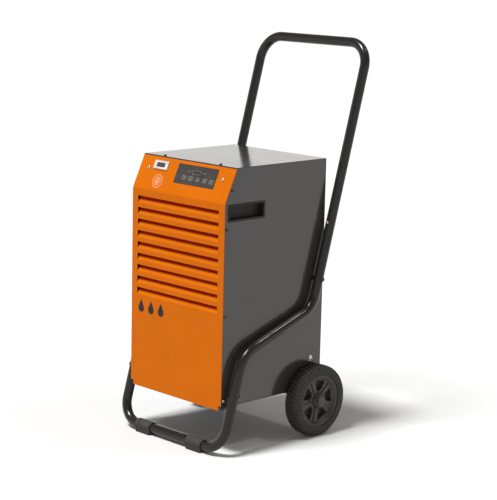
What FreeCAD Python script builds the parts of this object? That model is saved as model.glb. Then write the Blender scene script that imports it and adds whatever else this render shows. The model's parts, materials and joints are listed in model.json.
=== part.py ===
"""Portable commercial dehumidifier: a sheet-metal case on a bent tube trolley with two wheels.

All lengths are in millimetres. The parts are drawn in the case's own frame: X across the case,
Y from the front face towards the rear, Z up from the front panel's bottom edge. When a part is
written it is moved to the row frame, whose origin is on the floor under the middle of the
whole trolley.
"""

import FreeCAD
import Part
import math
import os

V = FreeCAD.Vector
X_AXIS = V(1, 0, 0)
Y_AXIS = V(0, 1, 0)
Z_AXIS = V(0, 0, 1)

# ---------------------------------------------------------------- driving dimensions

# Case
CASE_WIDTH = 380.0
CASE_DEPTH = 395.0
CASE_HEIGHT = 672.0
SHEET = 1.5                 # thickness of every folded steel sheet
PANEL_GAP = 0.4             # clearance between neighbouring sheets
SLANT_RISE = 95.0           # height of the slanted control face
SLANT_RUN = 43.5            # how far the top of the slanted face lies behind the front face
SIDE_LIFT = 11.5            # lower edge of the hood's sides above the front panel's lower edge
LIP_DROP = 3.5              # folded front lip of the hood's top
JOGGLE = 12.0               # overlap of the front panel's upper edge behind that lip
REAR_LIP = 14.0             # width of the hood's rear return lips

# Louvres in the front panel
LOUVRE_COUNT = 9
LOUVRE_MARGIN = 23.0        # from the louvre's end to the case's side
LOUVRE_HEIGHT = 20.0
LOUVRE_PITCH = 33.1
LOUVRE_DROP = 20.5          # upper edge of the highest louvre below the bend
LOUVRE_TILT = 33.0          # lean of each tongue from the vertical, degrees
LOUVRE_END_GAP = 0.4
NOTCH_WIDTH = 11.0          # relief notch in the front panel's bottom corners
NOTCH_HEIGHT = 14.0

# Grip pockets in the sides
GRIP_WIDTH = 142.0
GRIP_HEIGHT = 49.0
GRIP_FRONT = 10.5           # front edge of the pocket's rim behind the front face
GRIP_DROP = 2.5             # top of the rim below the bend
GRIP_DEPTH = 20.0
GRIP_WALL = 2.0
GRIP_RIM = 4.0
GRIP_PROUD = 1.0

# Trolley tubes
TUBE_OD = 28.0
TUBE_WALL = 1.5
TUBE_SIDE_GAP = 6.0         # between the hood's side and the tube
LEG_LEAN = 15.4             # of the legs and the handle from the vertical, degrees
FOOT_Y = -12.0              # centre of the foot bar
LOWER_BEND_Z = 156.0
UPPER_BEND_INSET = 61.5     # upper bend in front of the case's rear
UPPER_BEND_Z = 249.0
HANDLE_RISE = 320.5         # centre of the handle bar above the case
LOWER_BEND_RADIUS = 95.0
UPPER_BEND_RADIUS = 75.0
FOOT_CORNER_RADIUS = 65.0
HANDLE_CORNER_RADIUS = 70.0
JOINT_Z = 520.0             # height of the butt joint between handle and frame
SLEEVE_LENGTH = 130.0
SLEEVE_WALL = 2.0
FIT_GAP = 0.1               # radial clearance of plain fits
RUNNING_GAP = 0.08          # radial clearance of a turning fit
JOINT_BOLT_DROP = 34.0      # joint bolt below the butt joint, along the tube

# Feet
PAD_UNDER = 5.5             # rubber below the foot bar
PAD_WALL = 3.0
PAD_LENGTH = 62.0
PAD_SPACING = 214.0

# Wheels
WHEEL_RADIUS = 104.0
TYRE_WIDTH = 50.0
TYRE_INNER_RADIUS = 74.0
BEAD_HEIGHT = 4.0
BEAD_FIT = 0.05
TYRE_SHOULDER = 12.0
WHEEL_SIDE_GAP = 3.0        # between the hood's side and the tyre
AXLE_INSET = 48.0           # axle in front of the case's rear
AXLE_DROP = 23.0            # axle below the front panel's lower edge
RIM_WIDTH = 42.0
RIM_WALL = 4.0
RIM_INNER_RADIUS = 62.0
HUB_RADIUS = 19.0
HUB_LENGTH = 48.0
SPOKE_COUNT = 5
SPOKE_TURN = 25.0           # of the first spoke from the upright, degrees
WEB_THICKNESS = 20.0
WEB_BACK = 4.0              # closed back of the pockets between the spokes
POCKET_WIDTH = 28.0
POCKET_LENGTH = 31.0
POCKET_START = 27.0         # of each pocket from the axle
POCKET_CORNER = 9.0
RIB_WIDTH = 5.0
RIB_DEPTH = 30.0
CAP_GAP = 0.6
AXLE_RADIUS = 8.0
BRACKET_SHEET = 3.0
CAP_RADIUS = 15.0
CAP_LENGTH = 6.0

# Fasteners
BOLT_RADIUS = 4.0
BOLT_HOLE_RADIUS = 4.2
BOLT_HEAD_RADIUS = 7.0
BOLT_HEAD_HEIGHT = 4.4
SPACER_RADIUS = 7.0
SCREW_RADIUS = 2.0
SCREW_HOLE_RADIUS = 2.2
SCREW_HEAD_RADIUS = 4.2
SCREW_HEAD_HEIGHT = 2.6
SCREW_LENGTH = 9.0
SIDE_SCREW_INSET = 8.5
UPPER_SCREW_SHARE = 0.405   # of the slanted edge, from the bend up to the upper side screw
MIDDLE_SCREW_DROP = 19.0    # below the grip pocket
LOWER_SCREW_DROP = 309.0    # below the top of the grip pocket
CORNER_SCREW_Z = 27.5
TOP_SCREW_MARGIN = 76.0     # from the screw to the case's side
TOP_SCREW_INSET = 10.5      # behind the upper edge of the slanted face
REAR_SCREW_MARGIN = 60.0    # from the case's lower and upper edges
SIDE_BOLT_CLEAR = 14.0      # bolt above the tyre
WASHER_THICKNESS = 1.1
LOWER_FRAME_BOLT_Z = 46.5
UPPER_FRAME_BOLT_Z = 331.0
JOINT_BOLT_RADIUS = 3.0
NUT_FLATS = 13.0
NUT_HEIGHT = 6.5

# Control panel, measured along the slanted face
OVERLAY_CENTRE = (45.5, 62.8)
OVERLAY_WIDTH = 162.0
OVERLAY_HEIGHT = 57.5
OVERLAY_THICKNESS = 2.4
OVERLAY_PROUD = 0.5
KEY_COUNT = 5
KEY_PITCH = 27.5
KEY_FIRST_U = 2.0
KEY_V = 53.0
KEY_WIDTH = 19.0
KEY_HEIGHT = 13.0
KEY_THICKNESS = 1.8
KEY_GAP = 0.35
KEY_PROUD = 0.9
LAMP_RADIUS = 1.1
LAMP_SPACING = 9.0
LAMP_DROP = 11.5            # lamps below the middle of the keys
DISPLAY_WIDTH = 34.0
DISPLAY_HEIGHT = 12.0
DISPLAY_LIFT = 19.0         # display above the middle of the keys
COUNTER_CENTRE = (-103.5, 77.0)
COUNTER_WIDTH = 57.0
COUNTER_HEIGHT = 25.0
COUNTER_PROUD = 4.0
COUNTER_DEPTH = 30.0
COUNTER_WINDOW = (33.6, 12.1)
COUNTER_WINDOW_SHIFT = 1.0
COUNTER_RECESS_Z = 1.6
DECAL_MARGIN = 42.0         # from the first drop's middle to the case's side
DROP_COUNT = 3
DROP_PITCH = 42.0
DROP_RADIUS = 12.0
DROP_REACH = 26.0           # tip above the middle of the drop's round belly
DROP_BELOW = 38.7           # drops below the lowest louvre
FILM = 0.3
BADGE_CENTRE = (-98.7, 30.0)
BADGE_RADIUS = 20.5
PANEL_SCREW_MARGIN = 38.5
PANEL_SCREW_V = 65.5

# Air path
COIL_MARGIN = 44.0          # from the fins to the case's side
COIL_LIFT = 27.0            # coils above the shelf
COIL_DROP = 20.0            # coils below the bend
FILTER_MARGIN = 27.0
FILTER_THICKNESS = 10.0
FILTER_TO_COIL = 10.5
EVAPORATOR_DEPTH = 32.0
COIL_GAP = 10.0
CONDENSER_DEPTH = 44.0
COIL_TUBE_RADIUS = 4.8
COIL_TUBE_WALL = 0.8
FIN_PITCH = 8.0
FIN_SPACE = 6.0
FIN_WEB = 6.0               # solid web at the middle of each fin pack
COIL_TUBE_PITCH = 25.0
BEND_BULGE = 12.0           # return bends beyond the end plates
SHELF_Z = 258.0
SHROUD_INSET = 103.0        # fan plate in front of the case's rear
FAN_MARGIN = 37.5           # from the blade tips to the shelf and to the height of the bend
FAN_HUB_RADIUS = 46.0
FAN_TIP_GAP = 4.0
FAN_DROP = 2.5              # fan centre below the middle of the duct
FAN_DEPTH = 44.0
FAN_PITCH = 32.0            # of the blades, degrees
FAN_CHORD = 78.0
FAN_SHEET = 2.2
FAN_BOSS_RADIUS = 11.0
FAN_TO_PLATE = 4.0          # fan behind the shroud plate
SHROUD_COLLAR = 42.0
GUARD_STANDOFF = 6.0        # guard's plane behind the case's rear edge
FAN_BLADES = 5
FAN_SHAFT_RADIUS = 5.0
GUARD_WIRE = 1.8            # radius of the guard's wires
GUARD_PITCH = 12.0
GUARD_SPOKES = 8
GUARD_PLATE = 40.0
GUARD_TAB = 1.2

# Compressor
COMPRESSOR_MARGIN = 95.0    # from the compressor's middle to the case's left side
COMPRESSOR_Y = 92.0
COMPRESSOR_RADIUS = 59.0
COMPRESSOR_CORE_RADIUS = 36.0   # motor and pump inside the shell
COMPRESSOR_BOTTOM = 28.0
COMPRESSOR_HEIGHT = 205.0
COMPRESSOR_FOOT_CIRCLE = 74.0
COMPRESSOR_WALL = 4.0
COMPRESSOR_DOME = 20.0
ACCUMULATOR_REACH = 78.0    # from the compressor's middle
ACCUMULATOR_RADIUS = 20.0
ACCUMULATOR_HEIGHT = 120.0
ACCUMULATOR_LIFT = 60.0
FOOT_SHEET = 3.0
GROMMET_NECK_RADIUS = 5.9
PIPE_RADIUS = 4.0
CAPILLARY_RADIUS = 1.6
CAPILLARY_COIL = 22.0
DRIER_RADIUS = 12.0
DRIER_LENGTH = 70.0
GROMMET_RADIUS = 11.0

# Water tank
TANK_MARGIN = 55.0          # from the tank to the case's side
TANK_FRONT = 168.0
TANK_HEIGHT = 158.0
TANK_WALL = 2.5
TANK_LIFT = 0.5
TANK_FACE_MARGIN = 3.5
TANK_FACE_GAP = 1.5
TANK_GRIP_WIDTH = 96.0
TANK_GRIP_HEIGHT = 30.0
TANK_GRIP_DEPTH = 22.0
TANK_GRIP_DROP = 42.0       # bottom of the finger pocket below the tank's top
TANK_FACE_PROUD = 1.5
PIVOT_DROP = 22.0           # float's pin below the tank's top
PIVOT_INSET = 9.0           # float's pin behind the tank's front wall
EAR_SPACING = 28.0
FLOAT_ARM = 60.0
FLOAT_REST_ANGLE = 50.0     # of the float's arm below the horizontal
FLOAT_PIN_RADIUS = 2.0

# Mains inlet
INLET_MARGIN = 65.0         # from the inlet's middle to the case's side
INLET_DROP = 57.0           # inlet's middle below the case's top
INLET_WIDTH = 31.0
INLET_HEIGHT = 24.0

# ---------------------------------------------------------------- derived places

HALF = CASE_WIDTH / 2
BEND_HEIGHT = CASE_HEIGHT - SLANT_RISE
GROUND_CLEARANCE = WHEEL_RADIUS + AXLE_DROP
LOUVRE_TOP = BEND_HEIGHT - LOUVRE_DROP
LOUVRE_WIDTH = CASE_WIDTH - 2 * LOUVRE_MARGIN
LOUVRE_BOTTOM = LOUVRE_TOP - (LOUVRE_COUNT - 1) * LOUVRE_PITCH - LOUVRE_HEIGHT
LOUVRE_DEPTH = LOUVRE_HEIGHT * math.sin(math.radians(LOUVRE_TILT)) + SHEET
GRIP_TOP = BEND_HEIGHT - GRIP_DROP
FLANGE = GRIP_FRONT + GRIP_RIM - SHEET
TUBE_X = HALF + TUBE_SIDE_GAP + TUBE_OD / 2
TUBE_R = TUBE_OD / 2
LEAN_TAN = math.tan(math.radians(LEG_LEAN))
LEAN_COS = math.cos(math.radians(LEG_LEAN))
FLOOR_Z = -GROUND_CLEARANCE
FOOT_Z = FLOOR_Z + PAD_UNDER + TUBE_R
LOWER_BEND_Y = FOOT_Y + (LOWER_BEND_Z - FOOT_Z) * LEAN_TAN
UPPER_BEND_Y = CASE_DEPTH - UPPER_BEND_INSET
HANDLE_Z = CASE_HEIGHT + HANDLE_RISE
HANDLE_Y = UPPER_BEND_Y + (HANDLE_Z - UPPER_BEND_Z) * LEAN_TAN
PAD_RADIUS = TUBE_R + PAD_WALL
AXLE_Z = FLOOR_Z + WHEEL_RADIUS
WHEEL_Y = CASE_DEPTH - AXLE_INSET
TYRE_IN_X = HALF + WHEEL_SIDE_GAP
WHEEL_X = TYRE_IN_X + TYRE_WIDTH / 2
SLANT_LENGTH = math.hypot(SLANT_RUN, SLANT_RISE)
SLANT_ANGLE = math.degrees(math.atan2(SLANT_RISE, SLANT_RUN))
SLANT_S = V(0, SLANT_RUN / SLANT_LENGTH, SLANT_RISE / SLANT_LENGTH)
SLANT_N = V(0, -SLANT_RISE / SLANT_LENGTH, SLANT_RUN / SLANT_LENGTH)
INNER_X = HALF - SHEET
PAN_BOTTOM = SIDE_LIFT - 3.5
PAN_FLOOR = PAN_BOTTOM + SHEET
REAR_PANEL_Y = CASE_DEPTH - SHEET - PANEL_GAP - SHEET
COIL_WIDTH = CASE_WIDTH - 2 * COIL_MARGIN
COIL_BOTTOM = SHELF_Z + COIL_LIFT
COIL_HEIGHT = BEND_HEIGHT - COIL_DROP - COIL_BOTTOM
FILTER_WIDTH = CASE_WIDTH - 2 * FILTER_MARGIN
FILTER_FRONT = LOUVRE_DEPTH + 3.0
EVAPORATOR_FRONT = FILTER_FRONT + FILTER_THICKNESS + FILTER_TO_COIL
CONDENSER_FRONT = EVAPORATOR_FRONT + EVAPORATOR_DEPTH + COIL_GAP
SHROUD_Y = CASE_DEPTH - SHROUD_INSET
FAN_RADIUS = (BEND_HEIGHT - SHELF_Z) / 2 - FAN_MARGIN
FAN_CENTRE_Z = (SHELF_Z + BEND_HEIGHT) / 2 - FAN_DROP
COMPRESSOR_X = COMPRESSOR_MARGIN - HALF
TANK_WIDTH = CASE_WIDTH - 2 * TANK_MARGIN
INLET_CENTRE = (INLET_MARGIN - HALF, CASE_HEIGHT - INLET_DROP)
PANEL_SCREW_U = HALF - PANEL_SCREW_MARGIN
DRAIN_X = 60.0
DRAIN_Y = CONDENSER_FRONT + CONDENSER_DEPTH + 12.0
TRAY_BACK = DRAIN_Y + 14.0
PIPE_HOLES = [(-COIL_WIDTH / 2 - 19, TRAY_BACK + 12), (-COIL_WIDTH / 2 + 6, TRAY_BACK + 12)]
DRIER_PLACE = (-COIL_WIDTH / 2 - 2, (TRAY_BACK + SHROUD_Y) / 2 + 8)
LAMP_U = (KEY_FIRST_U + KEY_PITCH, KEY_FIRST_U + KEY_PITCH + LAMP_SPACING)
LAMP_V = KEY_V - LAMP_DROP
DISCHARGE_PLACE = (COMPRESSOR_X - 36, COMPRESSOR_Y + 14)
SUCTION_PLACE = (COMPRESSOR_X + ACCUMULATOR_REACH, COMPRESSOR_Y + 6)
TOP_SCREWS_X = (TOP_SCREW_MARGIN - HALF, HALF - TOP_SCREW_MARGIN)
TOP_SCREW_Y = SLANT_RUN + TOP_SCREW_INSET
CORNER_SCREW = (SIDE_SCREW_INSET, CORNER_SCREW_Z)
SIDE_BOLT = (WHEEL_Y + 4.0, AXLE_Z + WHEEL_RADIUS + SIDE_BOLT_CLEAR)
REAR_SCREWS = [(s * (INNER_X - REAR_LIP / 2), z) for s in (-1, 1)
               for z in (REAR_SCREW_MARGIN, CASE_HEIGHT / 2, CASE_HEIGHT - REAR_SCREW_MARGIN)]
TANK_BOTTOM = PAN_FLOOR + TANK_LIFT
TANK_TOP = TANK_BOTTOM + TANK_HEIGHT
ROW_SHIFT = V(0, -(FOOT_Y - PAD_RADIUS + HANDLE_Y + TUBE_R) / 2, GROUND_CLEARANCE)


def leg_y(z):
    """Y of the upper leg's centre line at height z."""
    return UPPER_BEND_Y + (z - UPPER_BEND_Z) * LEAN_TAN


def foot_leg_y(z):
    """Y of the lower leg's centre line at height z."""
    return FOOT_Y + (z - FOOT_Z) * LEAN_TAN


FRAME_BOLTS = [(foot_leg_y(LOWER_FRAME_BOLT_Z), LOWER_FRAME_BOLT_Z),
               (leg_y(UPPER_FRAME_BOLT_Z), UPPER_FRAME_BOLT_Z)]

# ---------------------------------------------------------------- small shape helpers


def box(x0, x1, y0, y1, z0, z1):
    return Part.makeBox(x1 - x0, y1 - y0, z1 - z0, V(x0, y0, z0))


def cylinder(base, direction, radius, height):
    return Part.makeCylinder(radius, height, base, direction)


def ring(base, direction, outer, inner, height):
    return cylinder(base, direction, outer, height).cut(cylinder(base, direction, inner, height))


def prism_x(points, x0, x1):
    """Polygon of (y, z) points, extruded from x0 to x1."""
    corners = [V(x0, y, z) for y, z in points]
    return Part.Face(Part.makePolygon(corners + corners[:1])).extrude(V(x1 - x0, 0, 0))


def fused(shapes):
    shapes = list(shapes)
    return shapes[0].multiFuse(shapes[1:]).removeSplitter() if len(shapes) > 1 else shapes[0]


def cut_all(shape, tools):
    tools = list(tools)
    return shape.cut(tools[0].multiFuse(tools[1:]) if len(tools) > 1 else tools[0])


def mirrored(shape):
    return shape.mirror(V(0, 0, 0), X_AXIS)


def both_sides(shape):
    return [shape, mirrored(shape)]


def rounded_plate(cx, cy, width, height, radius, z0, z1):
    """Rectangle with round corners in the local XY plane, from z0 to z1."""
    plate = Part.makeBox(width, height, z1 - z0, V(cx - width / 2, cy - height / 2, z0))
    upright = [e for e in plate.Edges if abs(e.tangentAt(e.FirstParameter).z) > 0.99]
    return plate.makeFillet(radius, upright)


def on_slant(shape):
    """Moves a shape drawn on the XY plane onto the slanted face: X across, Y up the slope, Z outwards."""
    moved = shape.copy()
    moved.Placement = FreeCAD.Placement(V(0, 0, BEND_HEIGHT), FreeCAD.Rotation(X_AXIS, SLANT_ANGLE)).multiply(
        moved.Placement)
    return moved


def on_right_side(shape):
    """Moves a shape drawn on the XY plane onto the right side: X rearwards, Y up, Z outwards."""
    moved = shape.copy()
    turn = FreeCAD.Rotation(Y_AXIS, Z_AXIS, X_AXIS, "ZXY")
    moved.Placement = FreeCAD.Placement(V(HALF, 0, 0), turn).multiply(moved.Placement)
    return moved


def on_rear(shape, y):
    """Moves a shape drawn on the XY plane onto a rear face: X towards -X, Y up, Z rearwards."""
    moved = shape.copy()
    turn = FreeCAD.Rotation(V(-1, 0, 0), Z_AXIS, Y_AXIS, "ZXY")
    moved.Placement = FreeCAD.Placement(V(0, y, 0), turn).multiply(moved.Placement)
    return moved


def round_path(points, radii):
    """Wire of straight runs through the points, joined by tangent arcs of the given radii."""
    edges = []
    start = points[0]
    for corner, following, radius in zip(points[1:-1], points[2:], radii):
        back = (start - corner).normalize()
        ahead = (following - corner).normalize()
        half = back.getAngle(ahead) / 2
        reach = radius / math.tan(half)
        first = corner + back * reach
        last = corner + ahead * reach
        centre = corner + (back + ahead).normalize() * (radius / math.sin(half))
        middle = centre + (corner - centre).normalize() * radius
        edges.append(Part.LineSegment(start, first).toShape())
        edges.append(Part.Arc(first, middle, last).toShape())
        start = last
    edges.append(Part.LineSegment(start, points[-1]).toShape())
    return Part.Wire(edges)


def rod_along(path, radius):
    """Solid rod of the given radius along a wire."""
    edge = path.Edges[0]
    direction = edge.tangentAt(edge.FirstParameter)
    circle = Part.Wire(Part.makeCircle(radius, edge.valueAt(edge.FirstParameter), direction))
    return path.makePipeShell([circle], True, False)


def tube_along(path, outer, inner):
    return rod_along(path, outer).cut(rod_along(path, inner))


def hex_prism(base, direction, across_flats, height):
    """Hexagonal bar from base along direction."""
    radius = across_flats / math.sqrt(3)
    corners = [V(radius * math.cos(i * math.pi / 3), radius * math.sin(i * math.pi / 3), 0) for i in range(7)]
    bar = Part.Face(Part.makePolygon(corners)).extrude(V(0, 0, height))
    bar.Placement = FreeCAD.Placement(base, FreeCAD.Rotation(Z_AXIS, direction))
    return bar


def screw(seat, direction, shank_radius, head_radius, head_height, length):
    """Round-headed socket screw. seat is the point under the head and direction points out of it."""
    shank = cylinder(seat - direction * length, direction, shank_radius, length + head_height / 2)
    head = cylinder(seat, direction, head_radius, head_height)
    rim = [e for e in head.Edges if e.Curve.TypeId == "Part::GeomCircle"
           and (e.Curve.Center - seat).Length > head_height / 2]
    head = head.makeFillet(head_height * 0.6, rim)
    socket = hex_prism(seat + direction * head_height * 0.45, direction, head_radius * 0.85, head_height)
    return head.fuse(shank).cut(socket)


def small_screw(seat, direction, length=SCREW_LENGTH):
    return screw(seat, direction, SCREW_RADIUS, SCREW_HEAD_RADIUS, SCREW_HEAD_HEIGHT, length)


# ---------------------------------------------------------------- places shared by several parts


def side_screw_places():
    """(y, z) of the black screws near the front edge of the hood's sides."""
    inset = SIDE_SCREW_INSET
    on_lean = slant_point(SLANT_LENGTH * UPPER_SCREW_SHARE, inset + 1.0)
    return [(inset, GRIP_TOP - LOWER_SCREW_DROP), (inset, GRIP_TOP - GRIP_HEIGHT - MIDDLE_SCREW_DROP), on_lean]


def slant_point(up, depth):
    """(y, z) of a point up the slanted face from the bend and depth behind its surface."""
    return up * SLANT_S.y - depth * SLANT_N.y, BEND_HEIGHT + up * SLANT_S.z - depth * SLANT_N.z


def slant_at_height(z, depth):
    """(y, z) of the point at height z on the plane that lies depth behind the slanted face."""
    up = (z - BEND_HEIGHT + depth * SLANT_N.z) / SLANT_S.z
    return slant_point(up, depth)


def front_corner(depth):
    """(y, z) where the front sheet's two planes meet, depth behind its surface."""
    return depth, BEND_HEIGHT - depth * math.tan(math.radians(90 - SLANT_ANGLE) / 2)


# ---------------------------------------------------------------- case


def front_panel():
    """Folded front: the upright louvred face, the slanted control face and inward flanges."""
    behind = SHEET + PANEL_GAP
    lip_foot = SLANT_LENGTH - LIP_DROP - PANEL_GAP
    skin = prism_x([(0, 0), front_corner(0), slant_point(lip_foot, 0), slant_point(lip_foot, SHEET),
                    front_corner(SHEET), (SHEET, 0)], -HALF, HALF)
    flange_x = INNER_X - PANEL_GAP
    roof = CASE_HEIGHT - SHEET - PANEL_GAP
    joggle = prism_x([slant_point(lip_foot - JOGGLE, SHEET - 0.1), slant_point(lip_foot - 1.5, SHEET - 0.1),
                      slant_point(lip_foot, behind), slant_at_height(roof, behind),
                      (TOP_SCREW_Y + 8, roof), (TOP_SCREW_Y + 8, roof - SHEET),
                      slant_at_height(roof - SHEET, behind + SHEET),
                      slant_point(lip_foot - JOGGLE, behind + SHEET)], 3 - flange_x, flange_x - 3)
    rim = [(0.5, NOTCH_HEIGHT), front_corner(0.5), slant_point(lip_foot - 3, 0.5)]
    flange = prism_x(rim + [slant_point(lip_foot - 12, FLANGE), front_corner(FLANGE), (FLANGE, NOTCH_HEIGHT)],
                     flange_x - SHEET, flange_x)
    tops = [LOUVRE_TOP - i * LOUVRE_PITCH for i in range(LOUVRE_COUNT)]
    wide = LOUVRE_WIDTH / 2
    windows = [box(-wide, wide, -1, SHEET + 1, top - LOUVRE_HEIGHT, top) for top in tops]
    tilt = math.radians(LOUVRE_TILT)
    along = (math.sin(tilt), math.cos(tilt))
    across = (math.cos(tilt), -math.sin(tilt))
    half = wide - LOUVRE_END_GAP
    tongues = []
    for top in tops:
        low = top - LOUVRE_HEIGHT
        tip = (along[0] * LOUVRE_HEIGHT, low + along[1] * LOUVRE_HEIGHT)
        tongues.append(prism_x([(0, low), tip, (tip[0] + across[0] * SHEET, tip[1] + across[1] * SHEET),
                                (across[0] * SHEET, low + across[1] * SHEET)], -half, half))
    notches = [box(s * HALF - NOTCH_WIDTH, s * HALF + NOTCH_WIDTH, -1, FLANGE + 1, -1, NOTCH_HEIGHT)
               for s in (-1, 1)]
    panel = fused([skin, joggle] + both_sides(flange))
    panel = fused([cut_all(panel, windows + notches)] + tongues)
    holes = [on_slant(rounded_plate(*OVERLAY_CENTRE, OVERLAY_WIDTH + PANEL_GAP, OVERLAY_HEIGHT + PANEL_GAP, 2.5,
                                    -SHEET - 3, 1)),
             on_slant(rounded_plate(*COUNTER_CENTRE, COUNTER_WIDTH - 7, COUNTER_HEIGHT - 6, 1.0, -SHEET - 3, 1))]
    for s in (-1, 1):
        holes.append(on_slant(cylinder(V(s * PANEL_SCREW_U, PANEL_SCREW_V, -5), Z_AXIS, SCREW_HOLE_RADIUS, 10)))
        for y, z in side_screw_places() + [CORNER_SCREW]:
            holes.append(cylinder(V(s * (HALF - 6), y, z), X_AXIS * s, SCREW_HOLE_RADIUS, 8))
    for x in TOP_SCREWS_X:
        holes.append(cylinder(V(x, TOP_SCREW_Y, CASE_HEIGHT - 8), Z_AXIS, SCREW_HOLE_RADIUS, 10))
    return cut_all(panel, holes)


def casing_hood():
    """Top and both sides, folded from one sheet, with a front lip and rear return lips."""
    behind = SHEET + PANEL_GAP
    lip_foot = SLANT_LENGTH - LIP_DROP
    outer = prism_x([(behind, SIDE_LIFT), front_corner(behind), slant_point(lip_foot, behind),
                     slant_point(lip_foot, 0), (SLANT_RUN, CASE_HEIGHT), (CASE_DEPTH, CASE_HEIGHT),
                     (CASE_DEPTH, SIDE_LIFT)], -HALF, HALF)
    folds = [e for e in outer.Edges if abs(abs(e.CenterOfMass.x) - HALF) < 0.01
             and abs(e.CenterOfMass.z - CASE_HEIGHT) < 0.01]
    outer = outer.makeFillet(2.0, folds)
    roof = CASE_HEIGHT - SHEET
    hollow = prism_x([(-5, -5), (-5, BEND_HEIGHT - 10), slant_point(5, SHEET), slant_at_height(roof, SHEET),
                      (CASE_DEPTH - SHEET, roof), (CASE_DEPTH - SHEET, -5)], -INNER_X, INNER_X)
    lip_x = INNER_X - REAR_LIP
    holes = [box(-lip_x, lip_x, CASE_DEPTH - 5, CASE_DEPTH + 5, -5, roof - REAR_LIP)]
    pocket = on_right_side(rounded_plate(GRIP_FRONT + GRIP_WIDTH / 2, GRIP_TOP - GRIP_HEIGHT / 2,
                                         GRIP_WIDTH - 2 * GRIP_RIM + PANEL_GAP, GRIP_HEIGHT - 2 * GRIP_RIM + PANEL_GAP,
                                         4.0, -5, 5))
    holes += both_sides(pocket)
    for s in (-1, 1):
        for y, z in side_screw_places() + [CORNER_SCREW]:
            holes.append(cylinder(V(s * (HALF - 5), y, z), X_AXIS * s, SCREW_HOLE_RADIUS, 8))
        for y, z in FRAME_BOLTS + [SIDE_BOLT]:
            holes.append(cylinder(V(s * (HALF - 5), y, z), X_AXIS * s, BOLT_HOLE_RADIUS, 8))
    for x in TOP_SCREWS_X:
        holes.append(cylinder(V(x, TOP_SCREW_Y, CASE_HEIGHT - 5), Z_AXIS, SCREW_HOLE_RADIUS, 8))
    for x, z in REAR_SCREWS:
        holes.append(cylinder(V(x, CASE_DEPTH - 5, z), Y_AXIS, SCREW_HOLE_RADIUS, 8))
    return cut_all(outer.cut(hollow), holes)


def tank_window():
    """(half width, bottom, top) of the tank's opening in the rear panel."""
    half = TANK_WIDTH / 2 + TANK_FACE_MARGIN + TANK_FACE_GAP
    return half, PAN_FLOOR, TANK_TOP + TANK_FACE_MARGIN + TANK_FACE_GAP


def rear_panel():
    """Flat rear sheet behind the hood's lips, open for the fan, the tank and the mains inlet."""
    half, low, high = tank_window()
    y0 = REAR_PANEL_Y
    side = INNER_X - PANEL_GAP
    plate = box(-side, side, y0, y0 + SHEET, PAN_FLOOR + PANEL_GAP, CASE_HEIGHT - SHEET - PANEL_GAP)
    holes = [cylinder(V(0, y0 - 5, FAN_CENTRE_Z), Y_AXIS, FAN_RADIUS + 8, 10),
             box(-half, half, y0 - 5, y0 + 5, low - 5, high),
             box(INLET_CENTRE[0] - INLET_WIDTH / 2 + 3, INLET_CENTRE[0] + INLET_WIDTH / 2 - 3, y0 - 5, y0 + 5,
                 INLET_CENTRE[1] - INLET_HEIGHT / 2 + 2, INLET_CENTRE[1] + INLET_HEIGHT / 2 - 2)]
    for x, z in REAR_SCREWS:
        holes.append(cylinder(V(x, y0 - 5, z), Y_AXIS, SCREW_HOLE_RADIUS, 10))
    for x, z in guard_feet():
        holes.append(cylinder(V(x, y0 - 5, z), Y_AXIS, SCREW_HOLE_RADIUS, 10))
    return cut_all(plate, holes)


def pan_flange_points():
    """Polygon of the base pan's side flange, low at the front corner where it shows in the notch."""
    return [(3.0, 2.0), (3.0, 24.0), (REAR_PANEL_Y - PANEL_GAP, 24.0), (REAR_PANEL_Y - PANEL_GAP, PAN_BOTTOM),
            (26.0, PAN_BOTTOM), (22.0, 5.0), (14.0, 2.0)]


def base_pan():
    """Floor of the case, with side flanges inside the hood, a rim under its edges and a front upstand."""
    side = INNER_X - 2 * PANEL_GAP - SHEET
    floor = box(-HALF + 0.5, HALF - 0.5, FLANGE + 4, CASE_DEPTH - 0.5, PAN_BOTTOM, PAN_FLOOR)
    rim = box(HALF - SHEET, HALF - 0.5, FLANGE + 4, CASE_DEPTH - 0.5, PAN_BOTTOM, SIDE_LIFT - PANEL_GAP)
    front_floor = box(-side, side, 3.0, FLANGE + 5, PAN_BOTTOM, PAN_FLOOR)
    upstand = box(-side, side, 3.0, 3.0 + SHEET, PAN_BOTTOM, 24.0)
    flange = prism_x(pan_flange_points(), side - SHEET, side)
    pan = fused([floor, front_floor, upstand] + both_sides(rim) + both_sides(flange))
    holes = []
    for x, y in compressor_feet():
        holes.append(cylinder(V(x, y, 0), Z_AXIS, BOLT_HOLE_RADIUS, 20))
    for x, y in bracket_bolts_places():
        holes.append(cylinder(V(x, y, 0), Z_AXIS, BOLT_HOLE_RADIUS, 20))
    for s in (-1, 1):
        holes.append(cylinder(V(s * (side - 5), CORNER_SCREW[0], CORNER_SCREW[1]), X_AXIS * s, 8.0, 10))
    return cut_all(pan, holes)


def shelf_plate():
    """Deck between the air duct above and the compressor and tank below."""
    side = INNER_X - PANEL_GAP
    deck = box(-side, side, FLANGE + 6, REAR_PANEL_Y - 2, SHELF_Z, SHELF_Z + SHEET)
    ear = box(side - SHEET, side, FLANGE + 6, REAR_PANEL_Y - 2, SHELF_Z, SHELF_Z + 16)
    holes = [cylinder(V(x, y, SHELF_Z - 5), Z_AXIS, 9.0, 12) for x, y in PIPE_HOLES]
    holes.append(cylinder(V(DRAIN_X, DRAIN_Y, SHELF_Z - 5), Z_AXIS, 12.0, 12))
    return cut_all(fused([deck] + both_sides(ear)), holes)


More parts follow.
